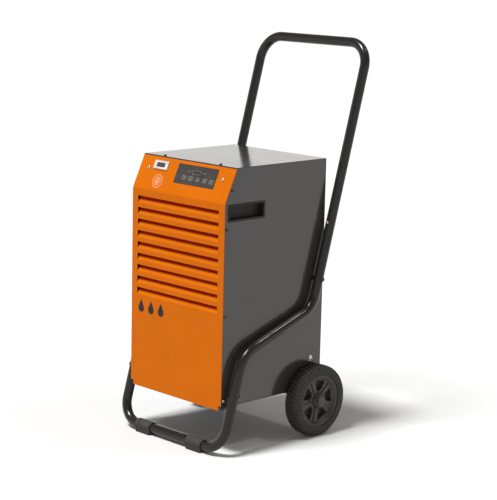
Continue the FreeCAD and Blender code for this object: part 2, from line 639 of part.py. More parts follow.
def grip_pocket():
    """Moulded finger pocket for the right side: a rim on the sheet and a cup behind it."""
    cx = GRIP_FRONT + GRIP_WIDTH / 2
    cy = GRIP_TOP - GRIP_HEIGHT / 2
    rim = rounded_plate(cx, cy, GRIP_WIDTH, GRIP_HEIGHT, 6.0, 0.0, GRIP_PROUD)
    cup = rounded_plate(cx, cy, GRIP_WIDTH - 2 * GRIP_RIM, GRIP_HEIGHT - 2 * GRIP_RIM, 4.0, -GRIP_DEPTH, GRIP_PROUD)
    hollow = rounded_plate(cx, cy, GRIP_WIDTH - 2 * GRIP_RIM - 2 * GRIP_WALL,
                           GRIP_HEIGHT - 2 * GRIP_RIM - 2 * GRIP_WALL, 3.0, -GRIP_DEPTH + GRIP_WALL, 5)
    return on_right_side(rim.fuse(cup).cut(hollow))


# ---------------------------------------------------------------- fasteners


def hood_screws():
    """Black screws along the hood's front edges, on both sides and on top."""
    screws = []
    for y, z in side_screw_places():
        screws += both_sides(small_screw(V(HALF, y, z), X_AXIS))
    for x in TOP_SCREWS_X:
        screws.append(small_screw(V(x, TOP_SCREW_Y, CASE_HEIGHT), Z_AXIS))
    return screws


def side_bolts():
    """Zinc screws low on the sides: a small one at the front corner, a larger one over the wheel."""
    y, z = CORNER_SCREW
    rear_y, rear_z = SIDE_BOLT
    seat = V(HALF + WASHER_THICKNESS + 0.1, rear_y, rear_z)
    bolt = screw(seat, X_AXIS, BOLT_RADIUS, BOLT_HEAD_RADIUS - 1, BOLT_HEAD_HEIGHT, 14.0)
    washer = ring(V(HALF, rear_y, rear_z), X_AXIS, BOLT_HEAD_RADIUS + 1, BOLT_HOLE_RADIUS, WASHER_THICKNESS)
    return both_sides(small_screw(V(HALF, y, z), X_AXIS)) + both_sides(bolt) + both_sides(washer)


def rear_screws():
    return [small_screw(V(x, CASE_DEPTH, z), Y_AXIS, 7.0) for x, z in REAR_SCREWS]


def panel_screws():
    return [on_slant(screw(V(s * PANEL_SCREW_U, PANEL_SCREW_V, 0), Z_AXIS, SCREW_RADIUS, 4.8, 3.4, 12.0))
            for s in (-1, 1)]


# ---------------------------------------------------------------- controls


def key_place(index):
    return KEY_FIRST_U + index * KEY_PITCH, KEY_V


def display_place():
    return OVERLAY_CENTRE[0] - 1.5, KEY_V + DISPLAY_LIFT


def control_overlay():
    """Keypad plate in the slanted face, with an opening for each key, the display and two lamps."""
    plate = rounded_plate(*OVERLAY_CENTRE, OVERLAY_WIDTH - PANEL_GAP, OVERLAY_HEIGHT - PANEL_GAP, 2.2,
                          OVERLAY_PROUD - OVERLAY_THICKNESS, OVERLAY_PROUD)
    holes = [rounded_plate(*key_place(i), KEY_WIDTH + 2 * KEY_GAP, KEY_HEIGHT + 2 * KEY_GAP, 2.4, -5, 5)
             for i in range(KEY_COUNT)]
    holes.append(rounded_plate(*display_place(), DISPLAY_WIDTH + 2 * FIT_GAP, DISPLAY_HEIGHT + 2 * FIT_GAP, 1.0,
                               -0.9, 5))
    for u in LAMP_U:
        holes.append(cylinder(V(u, LAMP_V, -5), Z_AXIS, LAMP_RADIUS + FIT_GAP, 10))
    return on_slant(cut_all(plate, holes))


def key(index):
    """One push key: a shallow cushion with rounded upper edges."""
    cap = rounded_plate(*key_place(index), KEY_WIDTH, KEY_HEIGHT, 2.2, KEY_PROUD - KEY_THICKNESS, KEY_PROUD)
    rim = [e for e in cap.Edges if abs(e.CenterOfMass.z - KEY_PROUD) < 0.01]
    return on_slant(cap.makeFillet(0.35, rim))


def display_window():
    return on_slant(rounded_plate(*display_place(), DISPLAY_WIDTH, DISPLAY_HEIGHT, 0.9, -0.85, OVERLAY_PROUD - 0.1))


def indicator_lamps():
    return [on_slant(cylinder(V(u, LAMP_V, -2.0), Z_AXIS, LAMP_RADIUS, 2.0 + OVERLAY_PROUD + 0.2)) for u in LAMP_U]


def control_board():
    """Printed circuit board on four posts behind the keypad, with its taller components."""
    u, v = OVERLAY_CENTRE
    top = OVERLAY_PROUD - OVERLAY_THICKNESS - 1.6
    board = rounded_plate(u, v, OVERLAY_WIDTH - 14, OVERLAY_HEIGHT - 8, 2.0, top - 1.6, top)
    posts = [cylinder(V(u + a * (OVERLAY_WIDTH / 2 - 14), v + b * (OVERLAY_HEIGHT / 2 - 7), top - 0.5), Z_AXIS,
                      2.0, 2.1) for a in (-1, 1) for b in (-1, 1)]
    chip = rounded_plate(u - 30, v, 22, 14, 0.8, top - 5.0, top - 1.0)
    relay = rounded_plate(u + 30, v + 3, 20, 16, 0.8, top - 14.0, top - 1.0)
    return on_slant(fused([board, chip, relay] + posts))


def hour_counter_case():
    """White bezel proud of the face, with the counter's box behind it."""
    u, v = COUNTER_CENTRE
    bezel = rounded_plate(u, v, COUNTER_WIDTH, COUNTER_HEIGHT, 2.0, 0.0, COUNTER_PROUD)
    rim = [e for e in bezel.Edges if abs(e.CenterOfMass.z - COUNTER_PROUD) < 0.01]
    bezel = bezel.makeFillet(1.2, rim)
    body = rounded_plate(u, v, COUNTER_WIDTH - 8, COUNTER_HEIGHT - 7, 0.8, -COUNTER_DEPTH, 1.0)
    recess = rounded_plate(*counter_window_place(), *[w + 2 * FIT_GAP for w in COUNTER_WINDOW], 1.0, COUNTER_RECESS_Z,
                           COUNTER_PROUD + 1)
    return on_slant(bezel.fuse(body).cut(recess))


def counter_window_place():
    return COUNTER_CENTRE[0] + COUNTER_WINDOW_SHIFT, COUNTER_CENTRE[1]


def hour_counter_window():
    return on_slant(rounded_plate(*counter_window_place(), *COUNTER_WINDOW, 0.9, COUNTER_RECESS_Z, COUNTER_PROUD - 1.0))


def badge_disc():
    u, v = BADGE_CENTRE
    return on_slant(cylinder(V(u, v, 0.0), Z_AXIS, BADGE_RADIUS, 0.4))


def front_decal():
    """Three water drops applied to the lower front, a plain stand-in for lettering."""
    drops = []
    half = math.acos(DROP_RADIUS / DROP_REACH)
    touch_x = DROP_RADIUS * math.sin(half)
    touch_z = DROP_RADIUS * math.cos(half)
    for i in range(DROP_COUNT):
        centre = V(DECAL_MARGIN - HALF + i * DROP_PITCH, 0.0, LOUVRE_BOTTOM - DROP_BELOW)
        left = centre + V(-touch_x, 0, touch_z)
        right = centre + V(touch_x, 0, touch_z)
        tip = centre + V(0, 0, DROP_REACH)
        belly = centre - V(0, 0, DROP_RADIUS)
        outline = Part.Wire([Part.Arc(left, belly, right).toShape(), Part.LineSegment(right, tip).toShape(),
                             Part.LineSegment(tip, left).toShape()])
        drops.append(Part.Face(outline).extrude(V(0, -FILM, 0)))
    return drops


# ---------------------------------------------------------------- air path and refrigeration


def filter_cassette():
    """Filter frame with a crossed lattice and the thin filter pad that it holds."""
    half = FILTER_WIDTH / 2
    low = COIL_BOTTOM - 14
    high = COIL_BOTTOM + COIL_HEIGHT + 10
    y0 = FILTER_FRONT
    y1 = y0 + FILTER_THICKNESS
    border = 9.0
    frame = box(-half, half, y0, y1, low, high).cut(
        box(-half + border, half - border, y0 - 1, y1 + 1, low + border, high - border))
    pad = box(-half + border - 1, half - border + 1, y0 + 4, y0 + 7, low + border - 1, high - border + 1)
    bars = [box(x - 1.5, x + 1.5, y0 + 1, y0 + 5, low + 5, high - 5) for x in (-82.0, 0.0, 82.0)]
    bars += [box(-half + 5, half - 5, y0 + 1, y0 + 5, z - 1.5, z + 1.5)
             for z in (low + (high - low) / 3, low + (high - low) * 2 / 3)]
    return fused([frame, pad] + bars)


def coil_rows(front, depth, columns):
    """(y, z) of a coil's tube centres, column by column, running up one and down the next."""
    count = int((COIL_HEIGHT - 20) // COIL_TUBE_PITCH) + 1
    start = COIL_BOTTOM + (COIL_HEIGHT - (count - 1) * COIL_TUBE_PITCH) / 2
    heights = [start + i * COIL_TUBE_PITCH for i in range(count)]
    places = []
    for column in range(columns):
        y = front + depth * (column + 0.5) / columns
        places += [(y, z) for z in (heights if column % 2 == 0 else heights[::-1])]
    return places


def coil_fins(front, depth, columns):
    """Fins on a thin web, with end plates that stand in the drip tray and a hole for every tube run."""
    half = COIL_WIDTH / 2
    top = COIL_BOTTOM + COIL_HEIGHT
    pack = box(-half, half, front, front + depth, COIL_BOTTOM, top)
    plates = [box(s * (half + 1) - 1, s * (half + 1) + 1, front - 2, front + depth + 2, tray_floor(), top + 4)
              for s in (-1, 1)]
    holes = [cylinder(V(-half - 5, y, z), X_AXIS, COIL_TUBE_RADIUS + FIT_GAP, COIL_WIDTH + 10)
             for y, z in coil_rows(front, depth, columns)]
    reach = (depth - FIN_WEB) / 2
    count = int((COIL_WIDTH - 2 * FIN_PITCH) // FIN_PITCH)
    grooves = []
    for i in range(count):
        x = (i - (count - 1) / 2) * FIN_PITCH
        for y in (front, front + depth - reach):
            grooves.append(box(x - FIN_SPACE / 2, x + FIN_SPACE / 2, y - 0.5, y + reach + 0.5,
                               COIL_BOTTOM - 1, top + 1))
    return cut_all(cut_all(fused([pack] + plates), grooves), holes)


def coil_tubes(front, depth, columns):
    """One serpentine tube: straight runs across the pack, joined by return bends."""
    places = coil_rows(front, depth, columns)
    half = COIL_WIDTH / 2 + 3.0
    shapes = []
    for radius in (COIL_TUBE_RADIUS, COIL_TUBE_RADIUS - COIL_TUBE_WALL):
        solids = [cylinder(V(-half, y, z), X_AXIS, radius, 2 * half) for y, z in places]
        for i, (a, b) in enumerate(zip(places, places[1:])):
            side = 1 if i % 2 == 0 else -1
            solids.append(return_bend(V(side * half, *a), V(side * half, *b), side, radius))
        shapes.append(fused(solids))
    return shapes[0].cut(shapes[1])


def return_bend(a, b, side, radius):
    """Half ring between two tube ends, bulging outwards along X."""
    bulge = X_AXIS * side * min((b - a).Length / 2, BEND_BULGE)
    path = round_path([a, a + bulge, b + bulge, b], [bulge.Length * 0.96] * 2)
    return rod_along(path, radius)


def tray_floor():
    return SHELF_Z + SHEET + 3.0


def drip_tray():
    """Moulded tray under both coils, with a drain stub through the shelf."""
    x = COIL_WIDTH / 2 + 16
    y0 = EVAPORATOR_FRONT - 6
    y1 = TRAY_BACK
    z0 = SHELF_Z + SHEET + 0.5
    outer = box(-x, x, y0, y1, z0, COIL_BOTTOM - 8)
    upright = [e for e in outer.Edges if abs(e.tangentAt(e.FirstParameter).z) > 0.99]
    outer = outer.makeFillet(5.0, upright)
    inner = box(-x + 2.5, x - 2.5, y0 + 2.5, y1 - 2.5, tray_floor(), COIL_BOTTOM)
    stub = cylinder(V(DRAIN_X, DRAIN_Y, SHELF_Z - 16), Z_AXIS, 8.0, 24)
    bore = cylinder(V(DRAIN_X, DRAIN_Y, SHELF_Z - 20), Z_AXIS, 6.0, 30)
    return outer.cut(inner).fuse(stub).cut(bore)


def drain_tube():
    """Short hose pushed over the tray's stub, ending above the tank."""
    top = V(DRAIN_X, DRAIN_Y, SHELF_Z - 4)
    path = round_path([top, V(DRAIN_X, DRAIN_Y, SHELF_Z - 40), V(DRAIN_X, TANK_FRONT + 36, SHELF_Z - 48),
                       V(DRAIN_X, TANK_FRONT + 36, PAN_FLOOR + TANK_HEIGHT + 8)], [14.0, 14.0])
    return tube_along(path, 10.5, 8.0 + FIT_GAP)


def fan_shroud():
    """Plate across the duct with a flared ring around the blades."""
    side = INNER_X - 2 * PANEL_GAP - SHEET
    low = SHELF_Z + SHEET + 0.2
    high = BEND_HEIGHT + 8
    throat = FAN_RADIUS + FAN_TIP_GAP
    plate = box(-side, side, SHROUD_Y, SHROUD_Y + SHEET, low, high)
    collar = ring(V(0, SHROUD_Y, FAN_CENTRE_Z), Y_AXIS, throat + 2.0, throat, SHROUD_COLLAR)
    flare = Part.makeCone(throat + 7, throat + 2, 8.0, V(0, SHROUD_Y, FAN_CENTRE_Z), Y_AXIS)
    hole = cylinder(V(0, SHROUD_Y - 5, FAN_CENTRE_Z), Y_AXIS, throat, 60)
    return fused([plate, collar, flare]).cut(hole)


def fan_blade(angle):
    """One pitched blade, from inside the hub can to the tip."""
    root = FAN_HUB_RADIUS - 4
    blade = Part.makeBox(FAN_CHORD, FAN_SHEET, FAN_RADIUS - root, V(-FAN_CHORD / 2, -FAN_SHEET / 2, root))
    blade.rotate(V(0, 0, 0), Z_AXIS, FAN_PITCH)
    blade.rotate(V(0, 0, 0), Y_AXIS, angle)
    return blade


def fan_rotor():
    """Hub can with pitched blades, turning about Y on the motor's shaft."""
    y0 = SHROUD_Y + FAN_TO_PLATE
    centre = V(0, y0 + FAN_DEPTH / 2, FAN_CENTRE_Z)
    blades = [fan_blade(i * 360.0 / FAN_BLADES) for i in range(FAN_BLADES)]
    blades = [b.common(cylinder(V(0, -40, 0), Y_AXIS, FAN_RADIUS, 80)) for b in blades]
    for b in blades:
        b.translate(centre)
    can = cylinder(V(0, y0, FAN_CENTRE_Z), Y_AXIS, FAN_HUB_RADIUS, FAN_DEPTH)
    can = can.makeFillet(6.0, [e for e in can.Edges if abs(e.CenterOfMass.y - y0) < 0.01])
    hollow = cylinder(V(0, y0 + 4, FAN_CENTRE_Z), Y_AXIS, FAN_HUB_RADIUS - 3, FAN_DEPTH)
    boss = cylinder(V(0, y0 + 1, FAN_CENTRE_Z), Y_AXIS, FAN_BOSS_RADIUS, FAN_DEPTH / 2)
    bore = cylinder(V(0, y0 + 3, FAN_CENTRE_Z), Y_AXIS, FAN_SHAFT_RADIUS + RUNNING_GAP, 40)
    return fused([can.fuse(blades[0]).fuse(blades[1:]).cut(hollow), boss]).cut(bore)


def guard_plane():
    return CASE_DEPTH + GUARD_STANDOFF


def fan_motor():
    """Stator body carried by the guard, with its shaft in the rotor's boss."""
    y_end = guard_plane() - 2 * GUARD_WIRE
    y0 = SHROUD_Y + FAN_TO_PLATE + FAN_DEPTH / 2 + 4
    body = cylinder(V(0, y0, FAN_CENTRE_Z), Y_AXIS, FAN_HUB_RADIUS - 5, y_end - 8 - y0)
    body = body.makeFillet(4.0, [e for e in body.Edges if abs(e.CenterOfMass.y - y0) < 0.01])
    neck = cylinder(V(0, y_end - 10, FAN_CENTRE_Z), Y_AXIS, 34.0, 10)
    shaft = cylinder(V(0, SHROUD_Y + FAN_TO_PLATE + 4, FAN_CENTRE_Z), Y_AXIS, FAN_SHAFT_RADIUS, 30)
    return fused([body, neck, shaft])


def guard_direction(index):
    """Unit vector along one of the guard's spokes."""
    angle = (index + 0.5) * 2 * math.pi / GUARD_SPOKES
    return V(math.cos(angle), 0, math.sin(angle))


def guard_feet():
    """(x, z) of the guard's four screws, beside the posts of the four flattest spokes."""
    half = GUARD_SPOKES // 2
    reach = FAN_RADIUS + 22
    places = []
    for index in (0, half - 1, half, GUARD_SPOKES - 1):
        out = guard_direction(index) * reach
        places.append((out.x, FAN_CENTRE_Z + out.z))
    return places


def fan_guard():
    """Welded guard: flat rings on radial bars, posts down to the panel, a centre plate and screw tabs."""
    plane = guard_plane()
    rear = REAR_PANEL_Y + SHEET
    middle = V(0, rear, FAN_CENTRE_Z)
    pieces = [cylinder(V(0, plane - 0.8, FAN_CENTRE_Z), Y_AXIS, GUARD_PLATE, 2.0)]
    for radius in guard_rings():
        pieces.append(ring(V(0, plane - GUARD_WIRE, FAN_CENTRE_Z), Y_AXIS, radius + GUARD_WIRE, radius - GUARD_WIRE,
                           2 * GUARD_WIRE))
    for i in range(GUARD_SPOKES):
        out = guard_direction(i)
        bar = box(GUARD_PLATE - 10, FAN_RADIUS + 12, plane - 2 * GUARD_WIRE, plane - 0.4, -GUARD_WIRE, GUARD_WIRE)
        bar.rotate(V(0, 0, 0), Y_AXIS, -math.degrees(math.atan2(out.z, out.x)))
        pieces.append(bar.translated(V(0, 0, FAN_CENTRE_Z)))
        pieces.append(cylinder(middle + out * (FAN_RADIUS + 12), Y_AXIS, GUARD_WIRE + 0.7, plane - rear))
    for x, z in guard_feet():
        out = (V(x, 0, z - FAN_CENTRE_Z)).normalize()
        pieces.append(cylinder(middle + out * (FAN_RADIUS + 19), Y_AXIS, 10.0, GUARD_TAB))
    guard = fused(pieces)
    return cut_all(guard, [cylinder(V(x, rear - 2, z), Y_AXIS, SCREW_HOLE_RADIUS, 8) for x, z in guard_feet()])


def guard_rings():
    """Radii of the guard's raised rings."""
    first = GUARD_PLATE + 8
    count = int((FAN_RADIUS - first) // GUARD_PITCH) + 1
    return [first + i * GUARD_PITCH for i in range(count)]


def guard_screws():
    rear = REAR_PANEL_Y + SHEET + GUARD_TAB
    return [small_screw(V(x, rear, z), Y_AXIS, 7.0) for x, z in guard_feet()]


def compressor_feet():
    places = []
    for i in range(3):
        angle = math.radians(30 + i * 120)
        places.append((COMPRESSOR_X + COMPRESSOR_FOOT_CIRCLE * math.cos(angle),
                       COMPRESSOR_Y + COMPRESSOR_FOOT_CIRCLE * math.sin(angle)))
    return places


def compressor():
    """Welded hermetic shell with its foot plate, terminal cover and suction accumulator."""
    base = V(COMPRESSOR_X, COMPRESSOR_Y, COMPRESSOR_BOTTOM)
    shell = cylinder(base, Z_AXIS, COMPRESSOR_RADIUS, COMPRESSOR_HEIGHT)
    ends = [e for e in shell.Edges if e.Curve.TypeId == "Part::GeomCircle"]
    shell = shell.makeFillet(COMPRESSOR_DOME, ends)
    space = ring(base + V(0, 0, COMPRESSOR_DOME), Z_AXIS, COMPRESSOR_RADIUS - COMPRESSOR_WALL,
                 COMPRESSOR_CORE_RADIUS, COMPRESSOR_HEIGHT - 2 * COMPRESSOR_DOME)
    shell = shell.cut(space)
    lugs = [cylinder(V(x, y, COMPRESSOR_BOTTOM - 1), Z_AXIS, 14.0, FOOT_SHEET) for x, y in compressor_feet()]
    corners = [V(x, y, COMPRESSOR_BOTTOM - 1) for x, y in compressor_feet()]
    plate = Part.Face(Part.makePolygon(corners + corners[:1])).extrude(V(0, 0, FOOT_SHEET))
    tank = cylinder(V(*SUCTION_PLACE, COMPRESSOR_BOTTOM + ACCUMULATOR_LIFT), Z_AXIS, ACCUMULATOR_RADIUS,
                    ACCUMULATOR_HEIGHT)
    tank = tank.makeFillet(8.0, [e for e in tank.Edges if e.Curve.TypeId == "Part::GeomCircle"])
    strap = box(COMPRESSOR_X + 40, COMPRESSOR_X + 66, COMPRESSOR_Y - 4, COMPRESSOR_Y + 16,
                COMPRESSOR_BOTTOM + 110, COMPRESSOR_BOTTOM + 122)
    cover = cylinder(base + V(0, 0, COMPRESSOR_HEIGHT - 4), Z_AXIS, 22.0, 16.0)
    stub = cylinder(V(*DISCHARGE_PLACE, base.z + COMPRESSOR_HEIGHT - 12), Z_AXIS, 6.0, 16.0)
    body = fused([shell, plate, tank, strap, cover, stub] + lugs)
    holes = [cylinder(V(x, y, COMPRESSOR_BOTTOM - 5), Z_AXIS, GROMMET_NECK_RADIUS + FIT_GAP, 12)
             for x, y in compressor_feet()]
    return cut_all(body, holes)


def compressor_grommets():
    """Rubber mounts between the base pan and the compressor's foot plate."""
    solids = []
    for x, y in compressor_feet():
        low = ring(V(x, y, PAN_FLOOR), Z_AXIS, GROMMET_RADIUS, BOLT_HOLE_RADIUS,
                   COMPRESSOR_BOTTOM - 1 - PAN_FLOOR)
        neck = ring(V(x, y, COMPRESSOR_BOTTOM - 2), Z_AXIS, GROMMET_NECK_RADIUS, BOLT_HOLE_RADIUS, 6.0)
        solids.append(low.fuse(neck))
    return solids


def compressor_bolts():
    return [screw(V(x, y, COMPRESSOR_BOTTOM + 4.1), Z_AXIS, BOLT_RADIUS, BOLT_HEAD_RADIUS, BOLT_HEAD_HEIGHT, 26.0)
            for x, y in compressor_feet()]


def refrigerant_pipes():
    """Discharge and suction lines up through the shelf, and the capillary's loops round the drier."""
    top = COMPRESSOR_BOTTOM + COMPRESSOR_HEIGHT
    hole_a, hole_b = PIPE_HOLES
    discharge = round_path([V(*DISCHARGE_PLACE, top + 4), V(*DISCHARGE_PLACE, top + 17),
                            V(*hole_a, top + 17), V(*hole_a, COIL_BOTTOM + 40)], [9.0, 12.0])
    over = top + 19
    suction = round_path([V(*SUCTION_PLACE, COMPRESSOR_BOTTOM + ACCUMULATOR_LIFT + ACCUMULATOR_HEIGHT), V(*SUCTION_PLACE, over),
                          V(SUCTION_PLACE[0] - 20, hole_b[1], over), V(*hole_b, over),
                          V(*hole_b, COIL_BOTTOM + 20)], [12.0, 14.0, 12.0])
    loops = [Part.makeTorus(CAPILLARY_COIL, CAPILLARY_RADIUS, V(*DRIER_PLACE, SHELF_Z + 48 + i * 3.1), Z_AXIS)
             for i in range(3)]
    return [rod_along(discharge, PIPE_RADIUS), rod_along(suction, PIPE_RADIUS), fused(loops)]


def filter_drier():
    """Copper drier cartridge on the shelf, drawn in at both ends."""
    x, y = DRIER_PLACE
    base = SHELF_Z + SHEET + 14
    body = cylinder(V(x, y, base), Z_AXIS, DRIER_RADIUS, DRIER_LENGTH)
    body = body.makeFillet(5.0, [e for e in body.Edges if e.Curve.TypeId == "Part::GeomCircle"])
    stub = cylinder(V(x, y, base - 12), Z_AXIS, 3.5, DRIER_LENGTH + 24)
    clip = box(x - 16, x + 16, y - 3, y + 3, SHELF_Z + SHEET, base + 4)
    return fused([body, clip, stub])


def float_switch():
    """Reed switch on a hanger below the shelf, facing the tank's front wall."""
    y = TANK_FRONT - 8.0
    hanger = box(-14, 14, y, y + SHEET, 140.0, SHELF_Z - 0.2)
    foot = box(-14, 14, y - 16, y + SHEET, SHELF_Z - 0.2 - SHEET, SHELF_Z - 0.2)
    body = rounded_plate(0, 150, 20, 34, 2.0, 0, 9.0)
    body.Placement = FreeCAD.Placement(V(0, y, 0), FreeCAD.Rotation(X_AXIS, 90)).multiply(body.Placement)
    return fused([hanger, foot, body])


def mains_inlet():
    """Recessed appliance inlet with three flat contacts."""
    x, z = INLET_CENTRE
    face = rounded_plate(-x, z, INLET_WIDTH + 12, INLET_HEIGHT + 8, 3.0, 0, 2.5)
    body = rounded_plate(-x, z, INLET_WIDTH - 6.5, INLET_HEIGHT - 4.5, 2.0, -18.0, 1.0)
    well = rounded_plate(-x, z, INLET_WIDTH - 9.5, INLET_HEIGHT - 7.5, 2.5, -15.0, 5.0)
    pins = [Part.makeBox(2.0, 4.0, 13.0, V(-x + dx - 1, z + dz - 2, -16.0)) for dx, dz in ((-7, -2), (0, 2), (7, -2))]
    body = fused([face.fuse(body).cut(well)] + pins)
    return on_rear(body, REAR_PANEL_Y + SHEET)


# ---------------------------------------------------------------- water


def tank_float_pivot():
    return V(0, TANK_FRONT + TANK_WALL + PIVOT_INSET, TANK_TOP - PIVOT_DROP)


def water_tank():
    """Open tank with a rolled rim, a face that fills the rear opening, a finger pocket and float ears."""
    z0 = TANK_BOTTOM
    z1 = TANK_TOP
    half = TANK_WIDTH / 2
    y1 = REAR_PANEL_Y - 2.0
    outer = box(-half, half, TANK_FRONT, y1, z0, z1)
    upright = [e for e in outer.Edges if abs(e.tangentAt(e.FirstParameter).z) > 0.99]
    outer = outer.makeFillet(8.0, upright)
    hollow = box(-half + TANK_WALL, half - TANK_WALL, TANK_FRONT + TANK_WALL, y1 - TANK_WALL, z0 + TANK_WALL, z1 + 1)
    hollow = hollow.makeFillet(6.0, [e for e in hollow.Edges if abs(e.tangentAt(e.FirstParameter).z) > 0.99])
    face_half = half + TANK_FACE_MARGIN
    face = box(-face_half, face_half, y1 - TANK_WALL, CASE_DEPTH + TANK_FACE_PROUD, z0, z1 + TANK_FACE_MARGIN)
    face = face.makeFillet(3.0, [e for e in face.Edges if abs(e.tangentAt(e.FirstParameter).y) > 0.99])
    grip_z = z1 - TANK_GRIP_DROP
    pocket = box(-TANK_GRIP_WIDTH / 2 - TANK_WALL, TANK_GRIP_WIDTH / 2 + TANK_WALL,
                 CASE_DEPTH + TANK_FACE_PROUD - TANK_GRIP_DEPTH - TANK_WALL, CASE_DEPTH, grip_z - TANK_WALL,
                 grip_z + TANK_GRIP_HEIGHT + TANK_WALL)
    grip = tank_grip_space()
    pivot = tank_float_pivot()
    ears = [box(x - 1.5, x + 1.5, TANK_FRONT + 1, pivot.y + 5, pivot.z - 6, pivot.z + 6) for x in (-EAR_SPACING / 2, EAR_SPACING / 2)]
    pin = cylinder(pivot - X_AXIS * EAR_SPACING / 2, X_AXIS, FLOAT_PIN_RADIUS, EAR_SPACING)
    shell = fused([outer.cut(hollow), face, pocket])
    return fused([shell.cut(grip)] + ears + [pin])


def tank_grip_space():
    z0 = TANK_TOP - TANK_GRIP_DROP
    return box(-TANK_GRIP_WIDTH / 2, TANK_GRIP_WIDTH / 2, CASE_DEPTH + TANK_FACE_PROUD - TANK_GRIP_DEPTH, CASE_DEPTH + 5,
               z0, z0 + TANK_GRIP_HEIGHT)


def tank_float():
    """Float block on an arm that hangs from the pin in the tank."""
    pivot = tank_float_pivot()
    eye = cylinder(V(-9, 0, 0), X_AXIS, 5.0, 18)
    arm = box(-4, 4, 0, FLOAT_ARM - 10, -2.5, 2.5)
    block = Part.makeBox(56, 30, 22, V(-28, FLOAT_ARM - 15, -11))
    block = block.makeFillet(4.0, block.Edges)
    shape = fused([eye, arm, block]).cut(cylinder(V(-20, 0, 0), X_AXIS, FLOAT_PIN_RADIUS + RUNNING_GAP, 40))
    shape.rotate(V(0, 0, 0), X_AXIS, -FLOAT_REST_ANGLE)
    shape.translate(pivot)
    return shape


# ---------------------------------------------------------------- trolley


def right_leg_points():
    """Corner points of the right-hand tube from the butt joint down to the foot bar's corner."""
    return [V(TUBE_X, leg_y(JOINT_Z), JOINT_Z), V(TUBE_X, UPPER_BEND_Y, UPPER_BEND_Z),
            V(TUBE_X, LOWER_BEND_Y, LOWER_BEND_Z), V(TUBE_X, FOOT_Y, FOOT_Z)]


def lean_direction():
    return V(0, math.sin(math.radians(LEG_LEAN)), LEAN_COS)


def across_leg():
    """Unit vector square to the upper leg, pointing to the rear."""
    return V(0, LEAN_COS, -math.sin(math.radians(LEG_LEAN)))


def joint_bolt_centre(side):
    return V(side * TUBE_X, leg_y(JOINT_Z), JOINT_Z) - lean_direction() * JOINT_BOLT_DROP


def joint_bolt_hole(side):
    return cylinder(joint_bolt_centre(side) - across_leg() * TUBE_OD, across_leg(), JOINT_BOLT_RADIUS + 2 * FIT_GAP,
                    2 * TUBE_OD)


def frame_tube():
    """Lower tube: down one side, across as the foot bar and up the other side, in one piece."""
    right = right_leg_points()
    left = [V(-p.x, p.y, p.z) for p in right[::-1]]
    radii = [UPPER_BEND_RADIUS, LOWER_BEND_RADIUS, FOOT_CORNER_RADIUS]
    path = round_path(right + left, radii + radii[::-1])
    tube = tube_along(path, TUBE_R, TUBE_R - TUBE_WALL)
    holes = []
    for s in (-1, 1):
        for y, z in FRAME_BOLTS:
            holes.append(cylinder(V(s * (TUBE_X - TUBE_OD), y, z), X_AXIS * s, BOLT_HOLE_RADIUS, 2 * TUBE_OD))
        holes.append(joint_bolt_hole(s))
    return cut_all(tube, holes)


def handle_tube():
    """Upper tube: the push handle, butted onto the frame tube at both ends."""
    right_foot = V(TUBE_X, leg_y(JOINT_Z), JOINT_Z)
    right_top = V(TUBE_X, HANDLE_Y, HANDLE_Z)
    points = [right_foot, right_top, V(-right_top.x, right_top.y, right_top.z),
              V(-right_foot.x, right_foot.y, right_foot.z)]
    path = round_path(points, [HANDLE_CORNER_RADIUS] * 2)
    return tube_along(path, TUBE_R, TUBE_R - TUBE_WALL)


def joint_sleeves():
    """Inner sleeves that carry the handle in the frame tube."""
    inside = TUBE_R - TUBE_WALL - FIT_GAP
    sleeves = []
    for s in (-1, 1):
        start = V(s * TUBE_X, leg_y(JOINT_Z), JOINT_Z) - lean_direction() * SLEEVE_LENGTH / 2
        sleeve = ring(start, lean_direction(), inside, inside - SLEEVE_WALL, SLEEVE_LENGTH)
        sleeves.append(sleeve.cut(joint_bolt_hole(s)))
    return sleeves


def joint_bolts():
    """Cross bolts through tube and sleeve, head at the front and a domed nut at the rear."""
    solids = []
    for s in (-1, 1):
        centre = joint_bolt_centre(s)
        front = centre - across_leg() * (TUBE_R + 0.1)
        solids.append(screw(front, across_leg() * -1, JOINT_BOLT_RADIUS, 4.6, 2.6, 2 * TUBE_R + 4))
        back = centre + across_leg() * (TUBE_R + 0.1)
        nut = hex_prism(back, across_leg(), 8.0, 3.4)
        dome = Part.makeSphere(3.7, back + across_leg() * 3.2)
        nut = nut.fuse(dome.common(cylinder(back + across_leg() * 3.1, across_leg(), 3.7, 8)))
        solids.append(nut.cut(cylinder(back - across_leg() * 2, across_leg(), JOINT_BOLT_RADIUS + FIT_GAP, 6.6)))
    return solids


def frame_bolts():
    """Long bolts through the tubes and spacers into nuts inside the case, four of each."""
    solids = []
    for y, z in FRAME_BOLTS:
        seat = V(TUBE_X + TUBE_R + 0.1, y, z)
        length = TUBE_OD + TUBE_SIDE_GAP + SHEET + 14
        solids += both_sides(screw(seat, X_AXIS, BOLT_RADIUS, BOLT_HEAD_RADIUS, BOLT_HEAD_HEIGHT, length))
        nut = hex_prism(V(INNER_X - NUT_HEIGHT - SHEET, y, z), X_AXIS, NUT_FLATS, NUT_HEIGHT)
        nut = nut.cut(cylinder(V(INNER_X - 12, y, z), X_AXIS, BOLT_RADIUS + FIT_GAP / 2, 12))
        solids += both_sides(nut)
    return solids


def frame_spacers():
    """Round spacers, hollowed at the tube side to seat on its curve."""
    solids = []
    for y, z in FRAME_BOLTS:
        spacer = ring(V(HALF, y, z), X_AXIS, SPACER_RADIUS, BOLT_HOLE_RADIUS, TUBE_SIDE_GAP + 2.0)
        saddle = cylinder(V(TUBE_X, y, z) - lean_direction() * 30, lean_direction(), TUBE_R + 0.05, 60)
        solids += both_sides(spacer.cut(saddle))
    return solids


